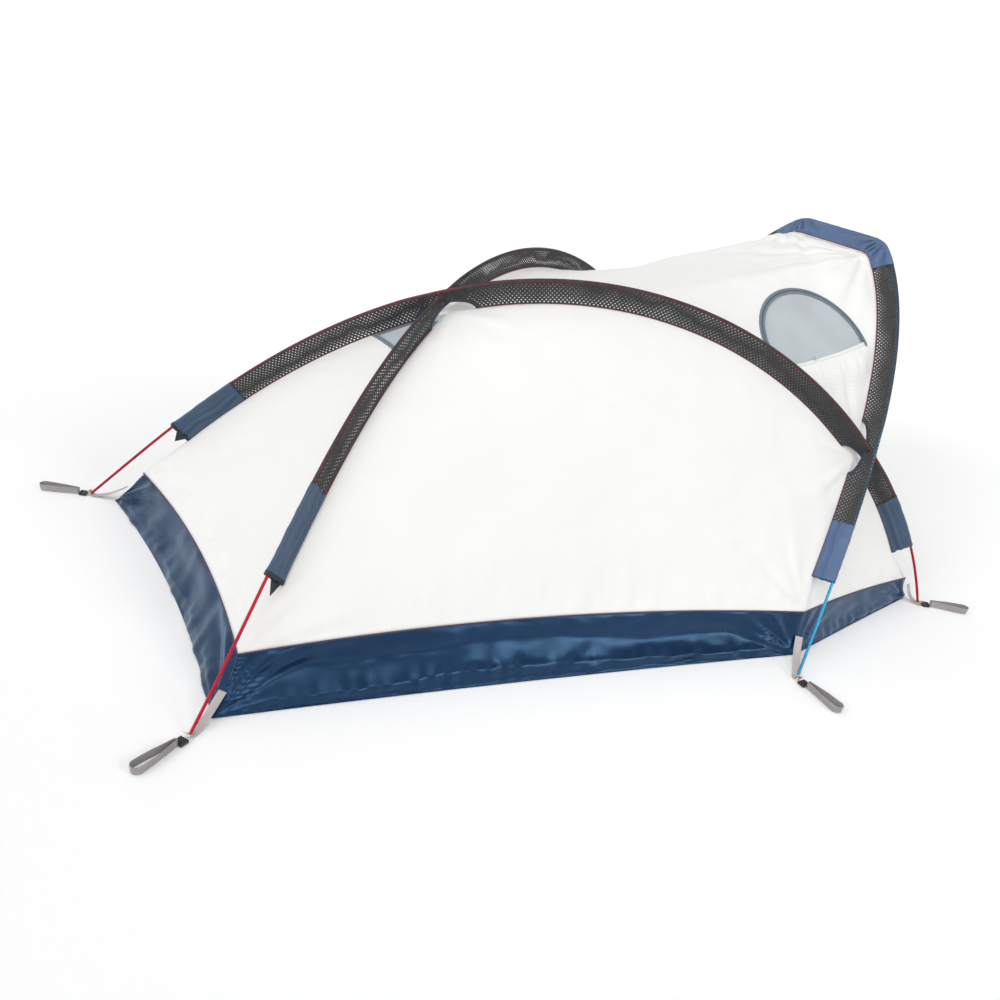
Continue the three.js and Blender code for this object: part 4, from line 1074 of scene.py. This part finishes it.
HEAD_CROSSING = middle.length - HOOP_CROSSING_FROM_HEAD
HOOP_CROSSINGS = [HOOP_CROSSING_FROM_FOOT, hoop.length - HOOP_CROSSING_FROM_FOOT]
FOOT_NYLON_END, HEAD_NYLON, HOOP_NYLON_END = 0.657, 0.205, 0.521
HEAD_END = middle.length - SLEEVE_FROM_HEAD
JOIN = 0.004
sleeves = {
    "over": Sleeve(over, arch_seam, [crossing, HEAD_CROSSING], 101),
    "under": Sleeve(under, arch_under_seam, [crossing, HEAD_CROSSING], 131),
    "hoop": Sleeve(hoop, hoop_seam, HOOP_CROSSINGS, 161),
}
soft = {}
for key in ("over", "under"):
    s = sleeves[key]
    nodes = ["sleeve_%s_%s" % (key, x) for x in ("foot", "roof", "head")]
    soft["sleeve_%s_net" % key] = s.net(
        "sleeve_%s_net" % key, FOOT_NYLON_END - JOIN, HEAD_END - HEAD_NYLON + JOIN, nodes)
    soft["sleeve_%s_foot_end" % key] = s.cloth(
        "sleeve_%s_foot_end" % key, SLEEVE_FROM_FOOT, FOOT_NYLON_END, pleat=0.0032, flare=0.0022,
        hem=(SLEEVE_FROM_FOOT,))
    soft["sleeve_%s_head_end" % key] = s.cloth(
        "sleeve_%s_head_end" % key, HEAD_END - HEAD_NYLON, HEAD_END, pleat=0.0032, flare=0.0022)
    s.gusset("sleeve_%s_foot_tail" % key, SLEEVE_FROM_FOOT + 0.008, -1)
    for label, c in (("apex", crossing), ("shoulder", HEAD_CROSSING)):
        s.notch_tape("notch_tape_%s_%s" % (key, label), c)
    s.seam_cord("seam_binding_" + key, [
        (SLEEVE_FROM_FOOT, crossing - NET_CUTS), (crossing + NET_CUTS, HEAD_CROSSING - NET_CUTS),
        (HEAD_CROSSING + NET_CUTS, HEAD_END)])

s = sleeves["hoop"]
legs = {
    "near": (SLEEVE_FROM_HOOP_FOOT, HOOP_NYLON_END, COVER_FROM_FOOT, HOOP_CROSSINGS[0]),
    "far": (hoop.length - SLEEVE_FROM_HOOP_FOOT, hoop.length - HOOP_NYLON_END, hoop.length - COVER_FROM_FOOT,
            HOOP_CROSSINGS[1]),
}
for key, (start, nylon_end, cover, c) in legs.items():
    a, b = sorted((nylon_end, cover))
    soft["sleeve_hoop_net_" + key] = s.net(
        "sleeve_hoop_net_" + key, a - JOIN, b + JOIN, ["sleeve_hoop_low_" + key, "sleeve_hoop_high_" + key])
    a, b = sorted((start, nylon_end))
    soft["sleeve_hoop_foot_end_" + key] = s.cloth(
        "sleeve_hoop_foot_end_" + key, a, b, pleat=0.0030, flare=0.0022)
    # Painted light: the hoop's foot-end sleeves take the lighter cover nylon, a lit copy of the sleeve nylon
    # that stands in for the light falling on them.
    soft["sleeve_hoop_foot_end_" + key].data.materials[0] = COVER_AND_LIT_NYLON.m
    s.notch_tape("notch_tape_hoop_" + key, c)
    low_cut, high_cut = c - NET_CUTS, c + NET_CUTS
    a, b = sorted((start, hoop.length / 2))
    s.seam_cord("seam_binding_hoop_" + key, [(a, low_cut), (high_cut, b)])


def elbow_folds(d, px):
    """Sharp folds that spread from both elbows over the hoop's cover, and small ones between them."""
    total = 0
    for e in (elbow_distance, hoop.length - elbow_distance):
        x, y = d - e, px - 0.004
        angle = np.arctan2(x, np.maximum(y, 0.0005) + 0.012)
        r = np.hypot(x, y + 0.012)
        rays_at = 1 - 2 * np.abs(np.sin(angle * 6 + 0.7))
        total = total + 0.0090 * rays_at * smooth(r, 0.004, 0.03) * np.exp(-((r / 0.15) ** 2))
    total = total * smooth(px, 0.002, 0.016)
    return total + 0.0013 * smooth(px, 0.0, 0.02) * ripple(np.stack([d, px * 0.35], -1), 77, 12, 0.02, 0.07)


soft["hoop_cover_cloth"] = s.cloth(
    "hoop_cover_cloth", COVER_FROM_FOOT, hoop.length - COVER_FROM_FOOT, ["hoop_cover"], step=0.004, pleat=0.0,
    bulge=0.0024, wrinkle=elbow_folds)
soft["hoop_cover_cloth"].data.materials[0] = COVER_AND_LIT_NYLON.m

# ---- Floor: glossy coated tub with gathered walls and a piped rim ----

WALL_ROWS = 44
BASE_FROM, BASE_TO, BASE_HEIGHT = vec((0.5, 0, 0))[0], vec((1.9, 0, 0))[0], 0.0012
SHELF_DEPTH, TUCK_DEPTH, WALL_GROUND, PIPING_RADIUS = 0.036, 0.005, 0.0022, 0.0023


def floor_ring(corner, edges, steps):
    def far(key):
        return corner[key] * MIRROR

    sides = [
        (corner["foot"], corner["hoop"], edges["side"], steps[0]),
        (corner["hoop"], corner["head"], edges["corner"], steps[1]),
        (corner["head"], far("head"), (0, 0), steps[2]),
        (far("head"), far("hoop"), edges["corner"], steps[1]),
        (far("hoop"), far("foot"), edges["side"], steps[0]),
        (far("foot"), corner["foot"], edges["foot"], steps[3]),
    ]
    return np.vstack([rim_edge(a, b, *e).share(np.linspace(0, 1, n, endpoint=False)) for a, b, e, n in sides])


RING_STEPS = (190, 72, 150, 130)
ground_ring = floor_ring(base, BASE_BOW, RING_STEPS)
rim_ring = floor_ring(rim, RIM_BOW, RING_STEPS)
around = np.roll(rim_ring, -1, 0) - np.roll(rim_ring, 1, 0)
ring_out = unit(np.stack([around[:, 1], -around[:, 0], 0 * around[:, 0]], -1))
t = np.linspace(0, 1, WALL_ROWS + 1)[:, None, None]
wall = rim_ring[None] * (1 - t) + ground_ring[None] * t
ring_at = np.concatenate([ground_ring[:, :2], 0 * ground_ring[:, :1]], 1)
depth = t[..., 0]
shift = 0.10 * ripple(ring_at, 204, 10, 0.25, 0.9)[None]
strength = 1 + 0.45 * ripple(ring_at, 205, 10, 0.20, 0.7)[None]
foot_end = smooth(-ring_at[:, 0], 1.02, 1.10)[None]
ramp = np.clip((depth - 0.42 - shift) / (0.36 - 0.4 * shift), 0, 1) ** 1.5
crease_at = ring_at * [1, 1, 0] + wall * [0, 0, 0.8]
creases = 0.0026 * ripple(crease_at, 206, 18, 0.03, 0.12) * smooth(depth, 0.5, 0.75)
door_side = smooth(ring_at[:, 0] - base["hoop"][0], -0.25, 0.0)[None]
shelf = (ramp - smooth(depth, 0.0, 1.0)) * SHELF_DEPTH * strength
shelf = shelf * (1 - 0.55 * foot_end) * (1 - 0.85 * door_side)
tuck = -TUCK_DEPTH * smooth(depth, 0.80, 0.98) * (1 - smooth(depth, 0.98, 1.0)) * (1 - foot_end)
long_folds = 0.0042 * ripple(wall * [1, 1, 0.9], 201, 10, 0.11, 0.34) * foot_end
soft_folds = 0.0012 * ripple(ring_at, 202, 14, 0.06, 0.30)[None]
drift = 0.0016 * ripple(wall * [1, 1, 2.2], 203, 20, 0.08, 0.26) * (1 - 0.8 * foot_end)
hold = smooth(depth, 0.0, 0.06) * (1 - smooth(depth, 0.94, 1.0))
rays = 0 * wall[..., 0]
for key, reach, amplitude, count, turn_by in (
        ("foot", 0.42, 0.0085, 14, 0.4), ("hoop", 0.20, 0.0045, 15, 1.1), ("head", 0.14, 0.0035, 13, 0.8)):
    for _, side in SIDES:
        q = wall - (base[key] * side + [0, 0, 0.004])
        level = np.hypot(q[..., 0], q[..., 1])
        angle = np.arctan2(q[..., 2], level)
        r = np.linalg.norm(q, axis=-1)
        wave = np.sin(angle * count + turn_by) + 0.45 * np.sin(angle * count * 2.3 + 1.7)
        rays = rays + amplitude * wave * smooth(r, 0.010, 0.09) * np.exp(-((r / reach) ** 2))
        pleat = np.sin(q[..., 2] * 2 * np.pi / 0.011 + 3 * level / 0.05)
        rays = rays + 0.0011 * pleat * np.exp(-(((level - 0.085) / 0.035) ** 2))
folds = (long_folds + soft_folds + drift + creases + rays) * hold
wall = wall + ring_out[None] * (shelf + tuck + folds)[..., None]
wall[:, :, 2] = np.maximum(wall[:, :, 2], WALL_GROUND)
along_base = np.clip(ground_ring[:, 0], BASE_FROM, BASE_TO)
centre_line = np.stack([along_base, 0 * along_base, 0 * along_base + BASE_HEIGHT], -1)
turn = []
for inward_share, level_height in ((0.003, 0.0016), (0.010, 0.0013), (0.030, 0.0012), (0.120, 0.0012)):
    level = ground_ring + (centre_line - ground_ring) * inward_share
    level[:, 2] = level_height
    turn.append(level)
tub_points = np.concatenate([wall, np.array(turn), centre_line[None]])
tub_piece = grid_piece(
    "floor_cloth", tub_points, FLOOR, "navy_floor", "floor_tub", close=True, weld=0.0001, thick=CANOPY_CLOTH)

pipe_line = np.vstack([rim_ring, rim_ring[:1]]) + np.vstack([ring_out, ring_out[:1]]) * 0.0012
grid_piece("rim_piping", tube(pipe_line, PIPING_RADIUS, 8), PIPING, "navy_floor", close=True)

# ---- Corner straps, grommets, buckles and stake loops ----

STRAP_LAP, STRAP_STAND, STRAP_HEIGHT, STRAP_THICK = 0.055, 0.007, 0.0048, 0.0018
GROMMET_OUTER, GROMMET_INNER, GROMMET_HALF = 0.009, 0.0038, 0.0021


def smooth_path(points, step=0.002):
    """Rounds the corners of a polyline and samples it evenly."""
    p = np.asarray(points, float)
    for _ in range(3):
        cut = [p[0]]
        for a, b in zip(p, p[1:]):
            cut += [a * 0.75 + b * 0.25, a * 0.25 + b * 0.75]
        p = np.array([*cut, p[-1]])
    line = Line(p)
    return line.at(np.linspace(0, line.length, max(4, int(line.length / step))))


def corner_strap(name, foot, corner, top, tangent, nodes):
    along = unit((corner - foot) * [1, 1, 0])
    reach = np.linalg.norm((corner - foot)[:2]) - STRAP_STAND
    lean = ((top - corner) @ along) / top[2]
    side = np.cross([0, 0, 1.0], along)
    plate = unit(along - tangent * (along @ tangent))
    start = foot - plate * 0.0125
    ground = np.array([foot[0], foot[1], STRAP_HEIGHT])
    path = smooth_path([
        start, foot, foot + plate * 0.011, ground + along * reach * 0.45 + [0, 0, 0.004],
        ground + along * (reach - 0.006) + [0, 0, 0.016],
        ground + along * (reach + lean * STRAP_LAP) + [0, 0, STRAP_LAP - STRAP_HEIGHT]])
    path[:, 2] = np.maximum(path[:, 2], STRAP_THICK / 2 + 0.001)
    line = Line(path)
    builder = Builder()
    builder.grid(capped(ribbon(path, side, WEBBING, STRAP_THICK)), close=True)
    up = unit(np.cross(np.gradient(path, axis=0), side))
    if abs(up[:, 2]).min() > 0.2:
        up = np.where(up[:, 2] < 0, -1.0, 1.0)[:, None] * up
    if up[len(up) // 2, 2] < 0:
        up = -up
    for k in (-1, 0, 1):
        row = path + side * k * (WEBBING / 2 - 0.0035) + up * STRAP_THICK / 2
        stitches(builder, row[6:], up[6:], 1)
    for at in (0.028, 0.034, line.length - 0.006):
        p, t = line.at(at), line.tangent(at)
        n = np.cross(t, side)
        n = n if n @ up[np.argmin(np.linalg.norm(path - p, axis=1))] > 0 else -n
        cross_row = p + np.linspace(-1, 1, 9)[:, None] * side * (WEBBING / 2 - 0.003) + n * STRAP_THICK / 2
        stitches(builder, cross_row, n, 1)
    piece = builder.build(name + "_strap", [WEB.m, THREAD.m])
    return finish_piece(piece, BODY, "webbing", *nodes)


def grommet(name, foot, tangent, node):
    profile = [(GROMMET_INNER, -0.9), (GROMMET_INNER + 0.0010, -1.0), (GROMMET_OUTER * 0.72, -0.86)]
    profile += [(GROMMET_OUTER * 0.94, -0.62), (GROMMET_OUTER, -0.35), (GROMMET_OUTER, 0.35)]
    profile += [(GROMMET_OUTER * 0.94, 0.62), (GROMMET_OUTER * 0.72, 0.86), (GROMMET_INNER + 0.0010, 1.0)]
    profile += [(GROMMET_INNER, 0.9), (GROMMET_INNER - 0.0003, 0.0)]
    x = unit(np.cross(tangent, [0, 0, 1.0]))
    y = np.cross(tangent, x)
    a = np.linspace(0, 2 * np.pi, 40, endpoint=False)
    rings = [[foot + (x * math.cos(t) + y * math.sin(t)) * r + tangent * h * GROMMET_HALF for t in a]
             for r, h in profile]
    builder = Builder()
    builder.grid(np.array([*rings, rings[0]]), close=True)
    piece = builder.build(name + "_ring", [BRASS.m], weld=0.00002)
    return finish_piece(piece, BODY, "brass", node)


def from_cad(name, node, material, body, slot, bevel):
    source = bpy.data.objects[node]
    mesh = source.data.copy()
    mesh.transform(source.matrix_world)
    bm = bmesh.new()
    bm.from_mesh(mesh)
    bmesh.ops.remove_doubles(bm, verts=bm.verts, dist=0.00001)
    bmesh.ops.dissolve_limit(bm, angle_limit=math.radians(3), verts=bm.verts, edges=bm.edges)
    bm.to_mesh(mesh)
    bm.free()
    mesh.materials.clear()
    mesh.materials.append(material.m)
    piece = bpy.data.objects.new(name, mesh)
    bpy.context.scene.collection.objects.link(piece)
    modifier(piece, "BEVEL", width=bevel, segments=3, limit_method="ANGLE", angle_limit=math.radians(30))
    mesh.polygons.foreach_set("use_smooth", [True] * len(mesh.polygons))
    modifier(piece, "WEIGHTED_NORMAL", keep_sharp=True)
    return finish_piece(piece, body, slot, node)


LOOP_LIFT = 0.0016


def stake_loop(name, foot, out, body, node):
    angle = math.atan2(out[1], out[0])
    x = np.array([math.cos(angle), math.sin(angle), 0])
    y = np.array([-math.sin(angle), math.cos(angle), 0])
    half = LOOP_HALF - 0.0008
    middle_x = LOOP_REACH - LOOP_HALF
    a = np.linspace(-np.pi / 2, np.pi / 2, 26)
    near = np.linspace(0, 1, 40)[:, None]
    low_leg = np.array([LOOP_START, -LOOP_NECK + 0.001]) * (1 - near) + np.array([middle_x, -half]) * near
    arc = np.stack([middle_x + half * np.cos(a), half * np.sin(a)], -1)
    flat = np.vstack([low_leg[:-1], arc, (low_leg * [1, -1])[::-1][1:]])
    bow = 0.0016 * np.sin((flat[:, 0] - LOOP_START) / (middle_x - LOOP_START) * np.pi) * np.sign(flat[:, 1])
    wob = 0.0010 * ripple(flat, 301, 6, 0.05, 0.12)
    centre = np.array([foot[0], foot[1], 0])
    path = centre + x * flat[:, :1] + y * (flat[:, 1] + bow + wob)[:, None]
    path[:, 2] = LOOP_LIFT + WEBBING / 2
    tilt = 0.16 * np.sin(np.linspace(0, np.pi, len(path)))
    outward = unit((path - (centre + x * (LOOP_START + middle_x) / 2)) * [1, 1, 0])
    across = unit(np.array([0, 0, 1.0]) + outward * tilt[:, None])
    builder = Builder()
    builder.grid(capped(ribbon(path, across, WEBBING - 0.0006, 0.0016)), close=True)
    for sign in (-1, 1):
        row = path + across * sign * (WEBBING / 2 - 0.003)
        normal = unit(np.cross(np.gradient(path, axis=0), across))
        stitches(builder, row[4:-4] + normal[4:-4] * 0.0008, normal[4:-4], 1)
    for k in range(7):
        for sign, normal in ((-1, -y), (1, y)):
            start = path[3 if sign < 0 else -4] + x * 0.0015 * k
            upright = np.linspace(-0.36, 0.36, 12)[:, None] * np.array([0, 0, WEBBING])
            column = start + upright + normal * 0.0008
            stitches(builder, column, normal, 1, pitch=0.0016, length=0.0015, width=0.0006)
    piece = builder.build(name + "_webbing", [LOOP_WEB.m, THREAD.m])
    return finish_piece(piece, body, "webbing", node)


feet = {
    "foot": (vec((0, -FOOT_HALF, FOOT_Z)), (-151, -87), under, 0.0),
    "hoop": (vec((HOOP_FOOT_X, -HOOP_FOOT_HALF, FOOT_Z)), (0, -1), hoop, 0.0),
    "head": (vec((LENGTH, -HEAD_HALF, FOOT_Z)), (116, -87), over, 1.0),
}
for key, (foot, out, curve, share) in feet.items():
    tangent = curve.tangent(np.array([curve.length * share]))[0]
    for label, side in SIDES:
        tag = key + "_" + label
        grommet("grommet_" + tag, foot * side, tangent * side, "grommet_" + tag)
        corner_strap("corner_" + tag, foot * side, base[key] * side, rim[key] * side, tangent * side,
                     ["corner_strap_" + tag])
        tab = "stake_tab_" + tag
        from_cad("buckle_%s_body" % tag, "buckle_" + tag, PLASTIC, tab, "black_plastic", 0.0011)
        stake_loop("stake_loop_" + tag, foot * side, np.array(out) * side[:2], tab, "stake_loop_" + tag)

# ---- Windows: insect mesh, a zip along the round top, and a hemmed sill ----

ZIP_WIDTH, ZIP_LIFT = 0.022, 0.0008
WINDOW_LAP = 0.002


def zip_strip(name, path, outward, across, width, body=BODY, slot="zip_tape"):
    """A zip: two tapes, a raised coil between them and a stitch row on each side."""
    builder = Builder()
    builder.grid(capped(ribbon(path + outward * ZIP_LIFT, across, width, 0.0012)), close=True)
    line = Line(path)
    count = int(line.length / 0.0011)
    d = np.linspace(0.002, line.length - 0.002, count)
    at = line.at(d)
    o = np.stack([np.interp(d, line.d, np.broadcast_to(outward, path.shape)[:, k]) for k in range(3)], -1)
    ridge = 0.00155 + 0.0003 * np.where(np.arange(count) % 2 == 0, 1.0, -1.0)
    builder.grid(tube(at + o * (ZIP_LIFT + 0.0006), ridge, 7), close=True, mat=2)
    for k in (-1, 1):
        row = path + across * k * (width / 2 - 0.0018) + outward * (ZIP_LIFT + 0.0006)
        stitches(builder, row, outward, 1)
    piece = builder.build(name, [SLATE.m, THREAD.m, DARK_ZIP.m])
    return finish_piece(piece, body, slot)


edge_radius = pane.radius - WINDOW_LAP
start_angle = math.asin(pane.sill / pane.radius)
for label, side in SIDES:
    rows = np.linspace(0, 1, 36)
    height = (pane.sill + 0.0005) * (1 - rows) + (edge_radius - 0.0015) * rows
    half = np.sqrt(np.maximum(edge_radius**2 - height**2, 0.004**2))
    x = half[:, None] * np.linspace(-1, 1, 45)[None]
    y = np.repeat(height[:, None], 45, 1)
    y = y + (sill_at(x) - pane.sill) * ((1 - rows) ** 3)[:, None]
    inside = smooth(edge_radius - np.hypot(x, y), 0, 0.05) * smooth(y - pane.sill, 0, 0.05)
    flat = np.stack([x, y], -1)
    z = -0.0012 + inside * (0.0016 * ripple(flat * [1, 0.5], 331, 12, 0.07, 0.22) - 0.0025)
    net_points = pane.world(x, y, z) * side
    soft["window_net_" + label] = grid_piece(
        "window_net_" + label, net_points, PANE, "vent_mesh", "window_mesh_" + label, weld=0.00005, uv=flat)

    angle = np.linspace(start_angle - 0.02, math.pi - start_angle + 0.02, 110)
    r = edge_radius + 0.007
    path = pane.world(r * np.cos(angle), r * np.sin(angle), np.array(0.0)) * side
    across = unit(path - pane.o * side)
    across = across - (pane.z * side) * (across @ (pane.z * side))[:, None]
    strip = zip_strip("window_zip_strip_" + label, path, pane.z * side, unit(across), ZIP_WIDTH)
    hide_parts("window_zip_" + label)

    sill_x = np.linspace(-edge_radius - 0.004, edge_radius + 0.004, 60)
    sill = pane.world(sill_x, sill_at(sill_x) - 0.003, np.array(0.0010) + 0 * sill_x) * side
    hem = Builder()
    hem.grid(capped(ribbon(sill, pane.y * side, 0.011, 0.0022)), close=True)
    for k in (-1, 1):
        stitches(hem, sill + pane.y * side * k * 0.0035 + pane.z * side * 0.0011, pane.z * side, 1)
    piece = hem.build("window_sill_hem_" + label, [CANOPY.m, THREAD.m])
    finish_piece(piece, BODY, "canopy_cloth")
    toggle_at = pane.world(np.array(-0.045), sill_at(np.array(-0.045)) + 0.004, np.array(0.0055)) * side
    along = (pane.x * 0.8 + pane.y * 0.6) * side
    t = np.linspace(-1, 1, 13)
    radii = 0.0034 * np.sqrt(np.maximum(1 - np.abs(t) ** 3.2, 0.02)) * (1 - 0.25 * np.exp(-(t / 0.22) ** 2))
    toggle = Builder()
    toggle.grid(capped(tube(toggle_at + along * (t * 0.011)[:, None], radii, 14)), close=True)
    loop_path = toggle_at + np.stack([pane.x * side * 0.004 * math.sin(a) - pane.z * side * 0.0045 * (
        1 - math.cos(a)) * 0.5 for a in np.linspace(0, 2 * math.pi, 20, endpoint=False)])
    toggle.grid(tube(np.vstack([loop_path, loop_path[:1]]), 0.0009, 6), close=True, mat=1)
    piece = toggle.build("window_toggle_" + label, [THREAD.m, SLATE.m])
    finish_piece(piece, BODY, "canopy_cloth")
    from_cad("window_slider_%s_body" % label, "window_slider_" + label, SLATE, "window_slider_pull_" + label,
             "black_plastic", 0.0007)

# ---- Door: flap, zip round its arch, slider ----

door_top = DOOR_SILL + DOOR_SIDE
straight = np.linspace(DOOR_SILL, door_top, 30)[:-1]
heights = np.r_[straight, door_top + DOOR_HALF * np.sin(np.linspace(0, np.pi / 2, 30))]
round_half = np.sqrt(np.maximum(DOOR_HALF**2 - (heights - door_top) ** 2, 0.004**2))
half = np.where(heights <= door_top, DOOR_HALF, round_half)
door_y = half[:, None] * np.linspace(-1, 1, 51)[None]
door_h = np.repeat(heights[:, None], 51, 1)
inside = smooth(-doorway_gap(door_y, door_h, DOOR_HALF), 0, 0.08)
flat = np.stack([door_y, door_h], -1)
lift = 0.0040 * ripple(flat * [1, 0.6], 351, 14, 0.14, 0.5) + 0.0012 * ripple(flat, 352, 14, 0.05, 0.12)
lift = inside * lift - 0.0008
flap_piece = grid_piece(
    "door_cloth", door_point(door_y, door_h, lift), CANOPY, "canopy_cloth", "door_flap", body="door",
    weld=0.00005, thick=CANOPY_CLOTH, uv=flat)

zip_radius = DOOR_HALF + 0.0065
angle = np.linspace(0, np.pi, 90)
rise = np.linspace(DOOR_SILL, door_top, 30)[:-1]
zip_y = np.r_[np.full(len(rise), zip_radius), zip_radius * np.cos(angle), np.full(len(rise), -zip_radius)]
zip_h = np.r_[rise, door_top + zip_radius * np.sin(angle), rise[::-1]]
zip_across = np.r_[np.tile([1.0, 0.0], (len(rise), 1)), np.stack([np.cos(angle), np.sin(angle)], -1),
                   np.tile([-1.0, 0.0], (len(rise), 1))]
zip_path = door_point(zip_y, zip_h)
zip_out = np.broadcast_to(door_out, zip_path.shape)
across = zip_across[:, :1] * np.array([0, 1.0, 0]) + zip_across[:, 1:] * door_up
strip = zip_strip("door_zip_strip", zip_path, zip_out, across, 0.0135)
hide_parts("door_zip")
sill_y = np.linspace(-DOOR_HALF - 0.012, DOOR_HALF + 0.012, 60)
sill_line = door_point(sill_y, np.array(DOOR_SILL - 0.005) + 0 * sill_y)
band("door_sill_band", sill_line, door_out, 0.010, SLATE, "zip_tape")
from_cad("door_slider_body", "door_slider", PLASTIC, "door_slider_pull", "black_plastic", 0.0007)

# ---- Stage, lights and camera ----

STAGE_COLOUR = (0.95, 0.95, 0.95)
SWEEP_START, SWEEP_END, SWEEP_RISE = 4.0, 16.0, 0.045
stage_radius = np.r_[0.5, 2.0, np.linspace(SWEEP_START, SWEEP_END, 24)]
stage_height = SWEEP_RISE * np.maximum(stage_radius - SWEEP_START, 0) ** 2
turns = np.linspace(0, 2 * np.pi, 96, endpoint=False)
stage_rings = np.stack([
    stage_radius[:, None] * np.cos(turns), stage_radius[:, None] * np.sin(turns),
    np.repeat(stage_height[:, None], 96, 1)], -1)
stage_builder = Builder()
stage_builder.grid(capped(stage_rings)[:-1], close=True)
stage_material = Nodes("studio_floor")
stage_tones = [(0.3, shade(STAGE_COLOUR, 0.995)), (0.7, shade(STAGE_COLOUR, 1.0))]
stage_material.link(
    stage_material.ramp(stage_material.noise(0.8, 3), stage_tones), stage_material.bsdf.inputs["Base Color"])
stage_material.set(Roughness=0.85)
stage_floor = stage_builder.build("stage_floor", [stage_material.m], weld=0.001)


def sun(name, at, strength, spread, colour=(1, 1, 1)):
    data = bpy.data.lights.new(name, "SUN")
    data.energy, data.angle, data.color = strength, math.radians(spread), colour
    lamp = bpy.data.objects.new(name, data)
    lamp.location = at
    lamp.rotation_euler = (-Vector(at)).to_track_quat("-Z", "Y").to_euler()
    bpy.context.scene.collection.objects.link(lamp)


sun("top", (-0.15, -0.25, 1.0), 0.45, 25)
sun("side", (-0.88, -0.22, 0.42), 1.35, 30)
sun("front", (0.42, -0.72, 0.50), 0.68, 18)
world = bpy.data.worlds.new("studio")
world.use_nodes = True
tree = world.node_tree
direction = tree.nodes.new("ShaderNodeTexCoord").outputs["Generated"]
split_axes = tree.nodes.new("ShaderNodeSeparateXYZ")
tree.links.new(direction, split_axes.inputs[0])
lean_left = tree.nodes.new("ShaderNodeMath")
lean_left.operation = "MULTIPLY_ADD"
lean_left.inputs[1].default_value = -0.80
tree.links.new(split_axes.outputs[0], lean_left.inputs[0])
tree.links.new(split_axes.outputs[2], lean_left.inputs[2])
glow = tree.nodes.new("ShaderNodeValToRGB")
glow.color_ramp.elements[0].position, glow.color_ramp.elements[0].color = 0.05, (0.10, 0.11, 0.12, 1)
glow.color_ramp.elements[1].position, glow.color_ramp.elements[1].color = 0.95, (1.0, 1.0, 1.0, 1)
tree.links.new(lean_left.outputs[0], glow.inputs[0])
tree.links.new(glow.outputs[0], tree.nodes["Background"].inputs["Color"])
tree.nodes["Background"].inputs["Strength"].default_value = 0.90
bpy.context.scene.world = world
bpy.context.scene.view_settings.view_transform = "Standard"

CAMERA_AT = (-1.65758, -2.49670, 1.52721)
AZIMUTH, ELEVATION, ROLL = (math.radians(a) for a in (-32.884, 24.511, 8.802))
level = math.cos(ELEVATION)
back = np.array([math.sin(AZIMUTH) * level, -math.cos(AZIMUTH) * level, math.sin(ELEVATION)])
right = np.array([math.cos(AZIMUTH), math.sin(AZIMUTH), 0])
up = np.cross(back, right)
right, up = (math.cos(ROLL) * right + math.sin(ROLL) * up, -math.sin(ROLL) * right + math.cos(ROLL) * up)
camera_data = bpy.data.cameras.new("camera")
camera_data.sensor_width, camera_data.lens = 36, 36
camera = bpy.data.objects.new("camera", camera_data)
camera.matrix_world = Matrix([[right[k], up[k], back[k], CAMERA_AT[k]] for k in range(3)] + [[0, 0, 0, 1]])
bpy.context.scene.collection.objects.link(camera)
bpy.context.scene.camera = camera

# ---- Cloth cuts: areas worked out from the seam lines and driving dimensions ----

seam_steps = np.linspace(0, 1, 40)


def spanned(*edges):
    """Area inside a closed row of seam lines, flat from their middle out to each seam."""
    loop = np.vstack([e.share(seam_steps) if isinstance(e, Line) else e for e in edges])
    inner = loop.mean(0)
    return np.linalg.norm(np.cross(loop - inner, np.roll(loop, -1, 0) - inner), axis=1).sum() / 2


def back_along(line, side=1.0):
    return (line.share(seam_steps) * side)[::-1]


foot_cut = spanned(foot_rim, foot_seam, back_along(foot_seam, MIRROR))
side_cut = spanned(side_rim, hoop_low, back_along(roof_seam), back_along(foot_seam))
corner_cut = spanned(corner_rim, head_seam, back_along(hoop_low))
wing_cut = spanned(head_seam, hoop_high, flat_foot[None])
roof_cut = spanned(roof_seam, hoop_high, back_along(hoop_high, MIRROR), back_along(roof_seam, MIRROR))
ring_steps = [np.linalg.norm(np.roll(r, -1, 0) - r, axis=1) for r in (ground_ring, rim_ring)]
wall_cut = (np.linalg.norm(rim_ring - ground_ring, axis=1) * (ring_steps[0] + ring_steps[1]) / 2).sum()
tub_cut = spanned(ground_ring) + wall_cut
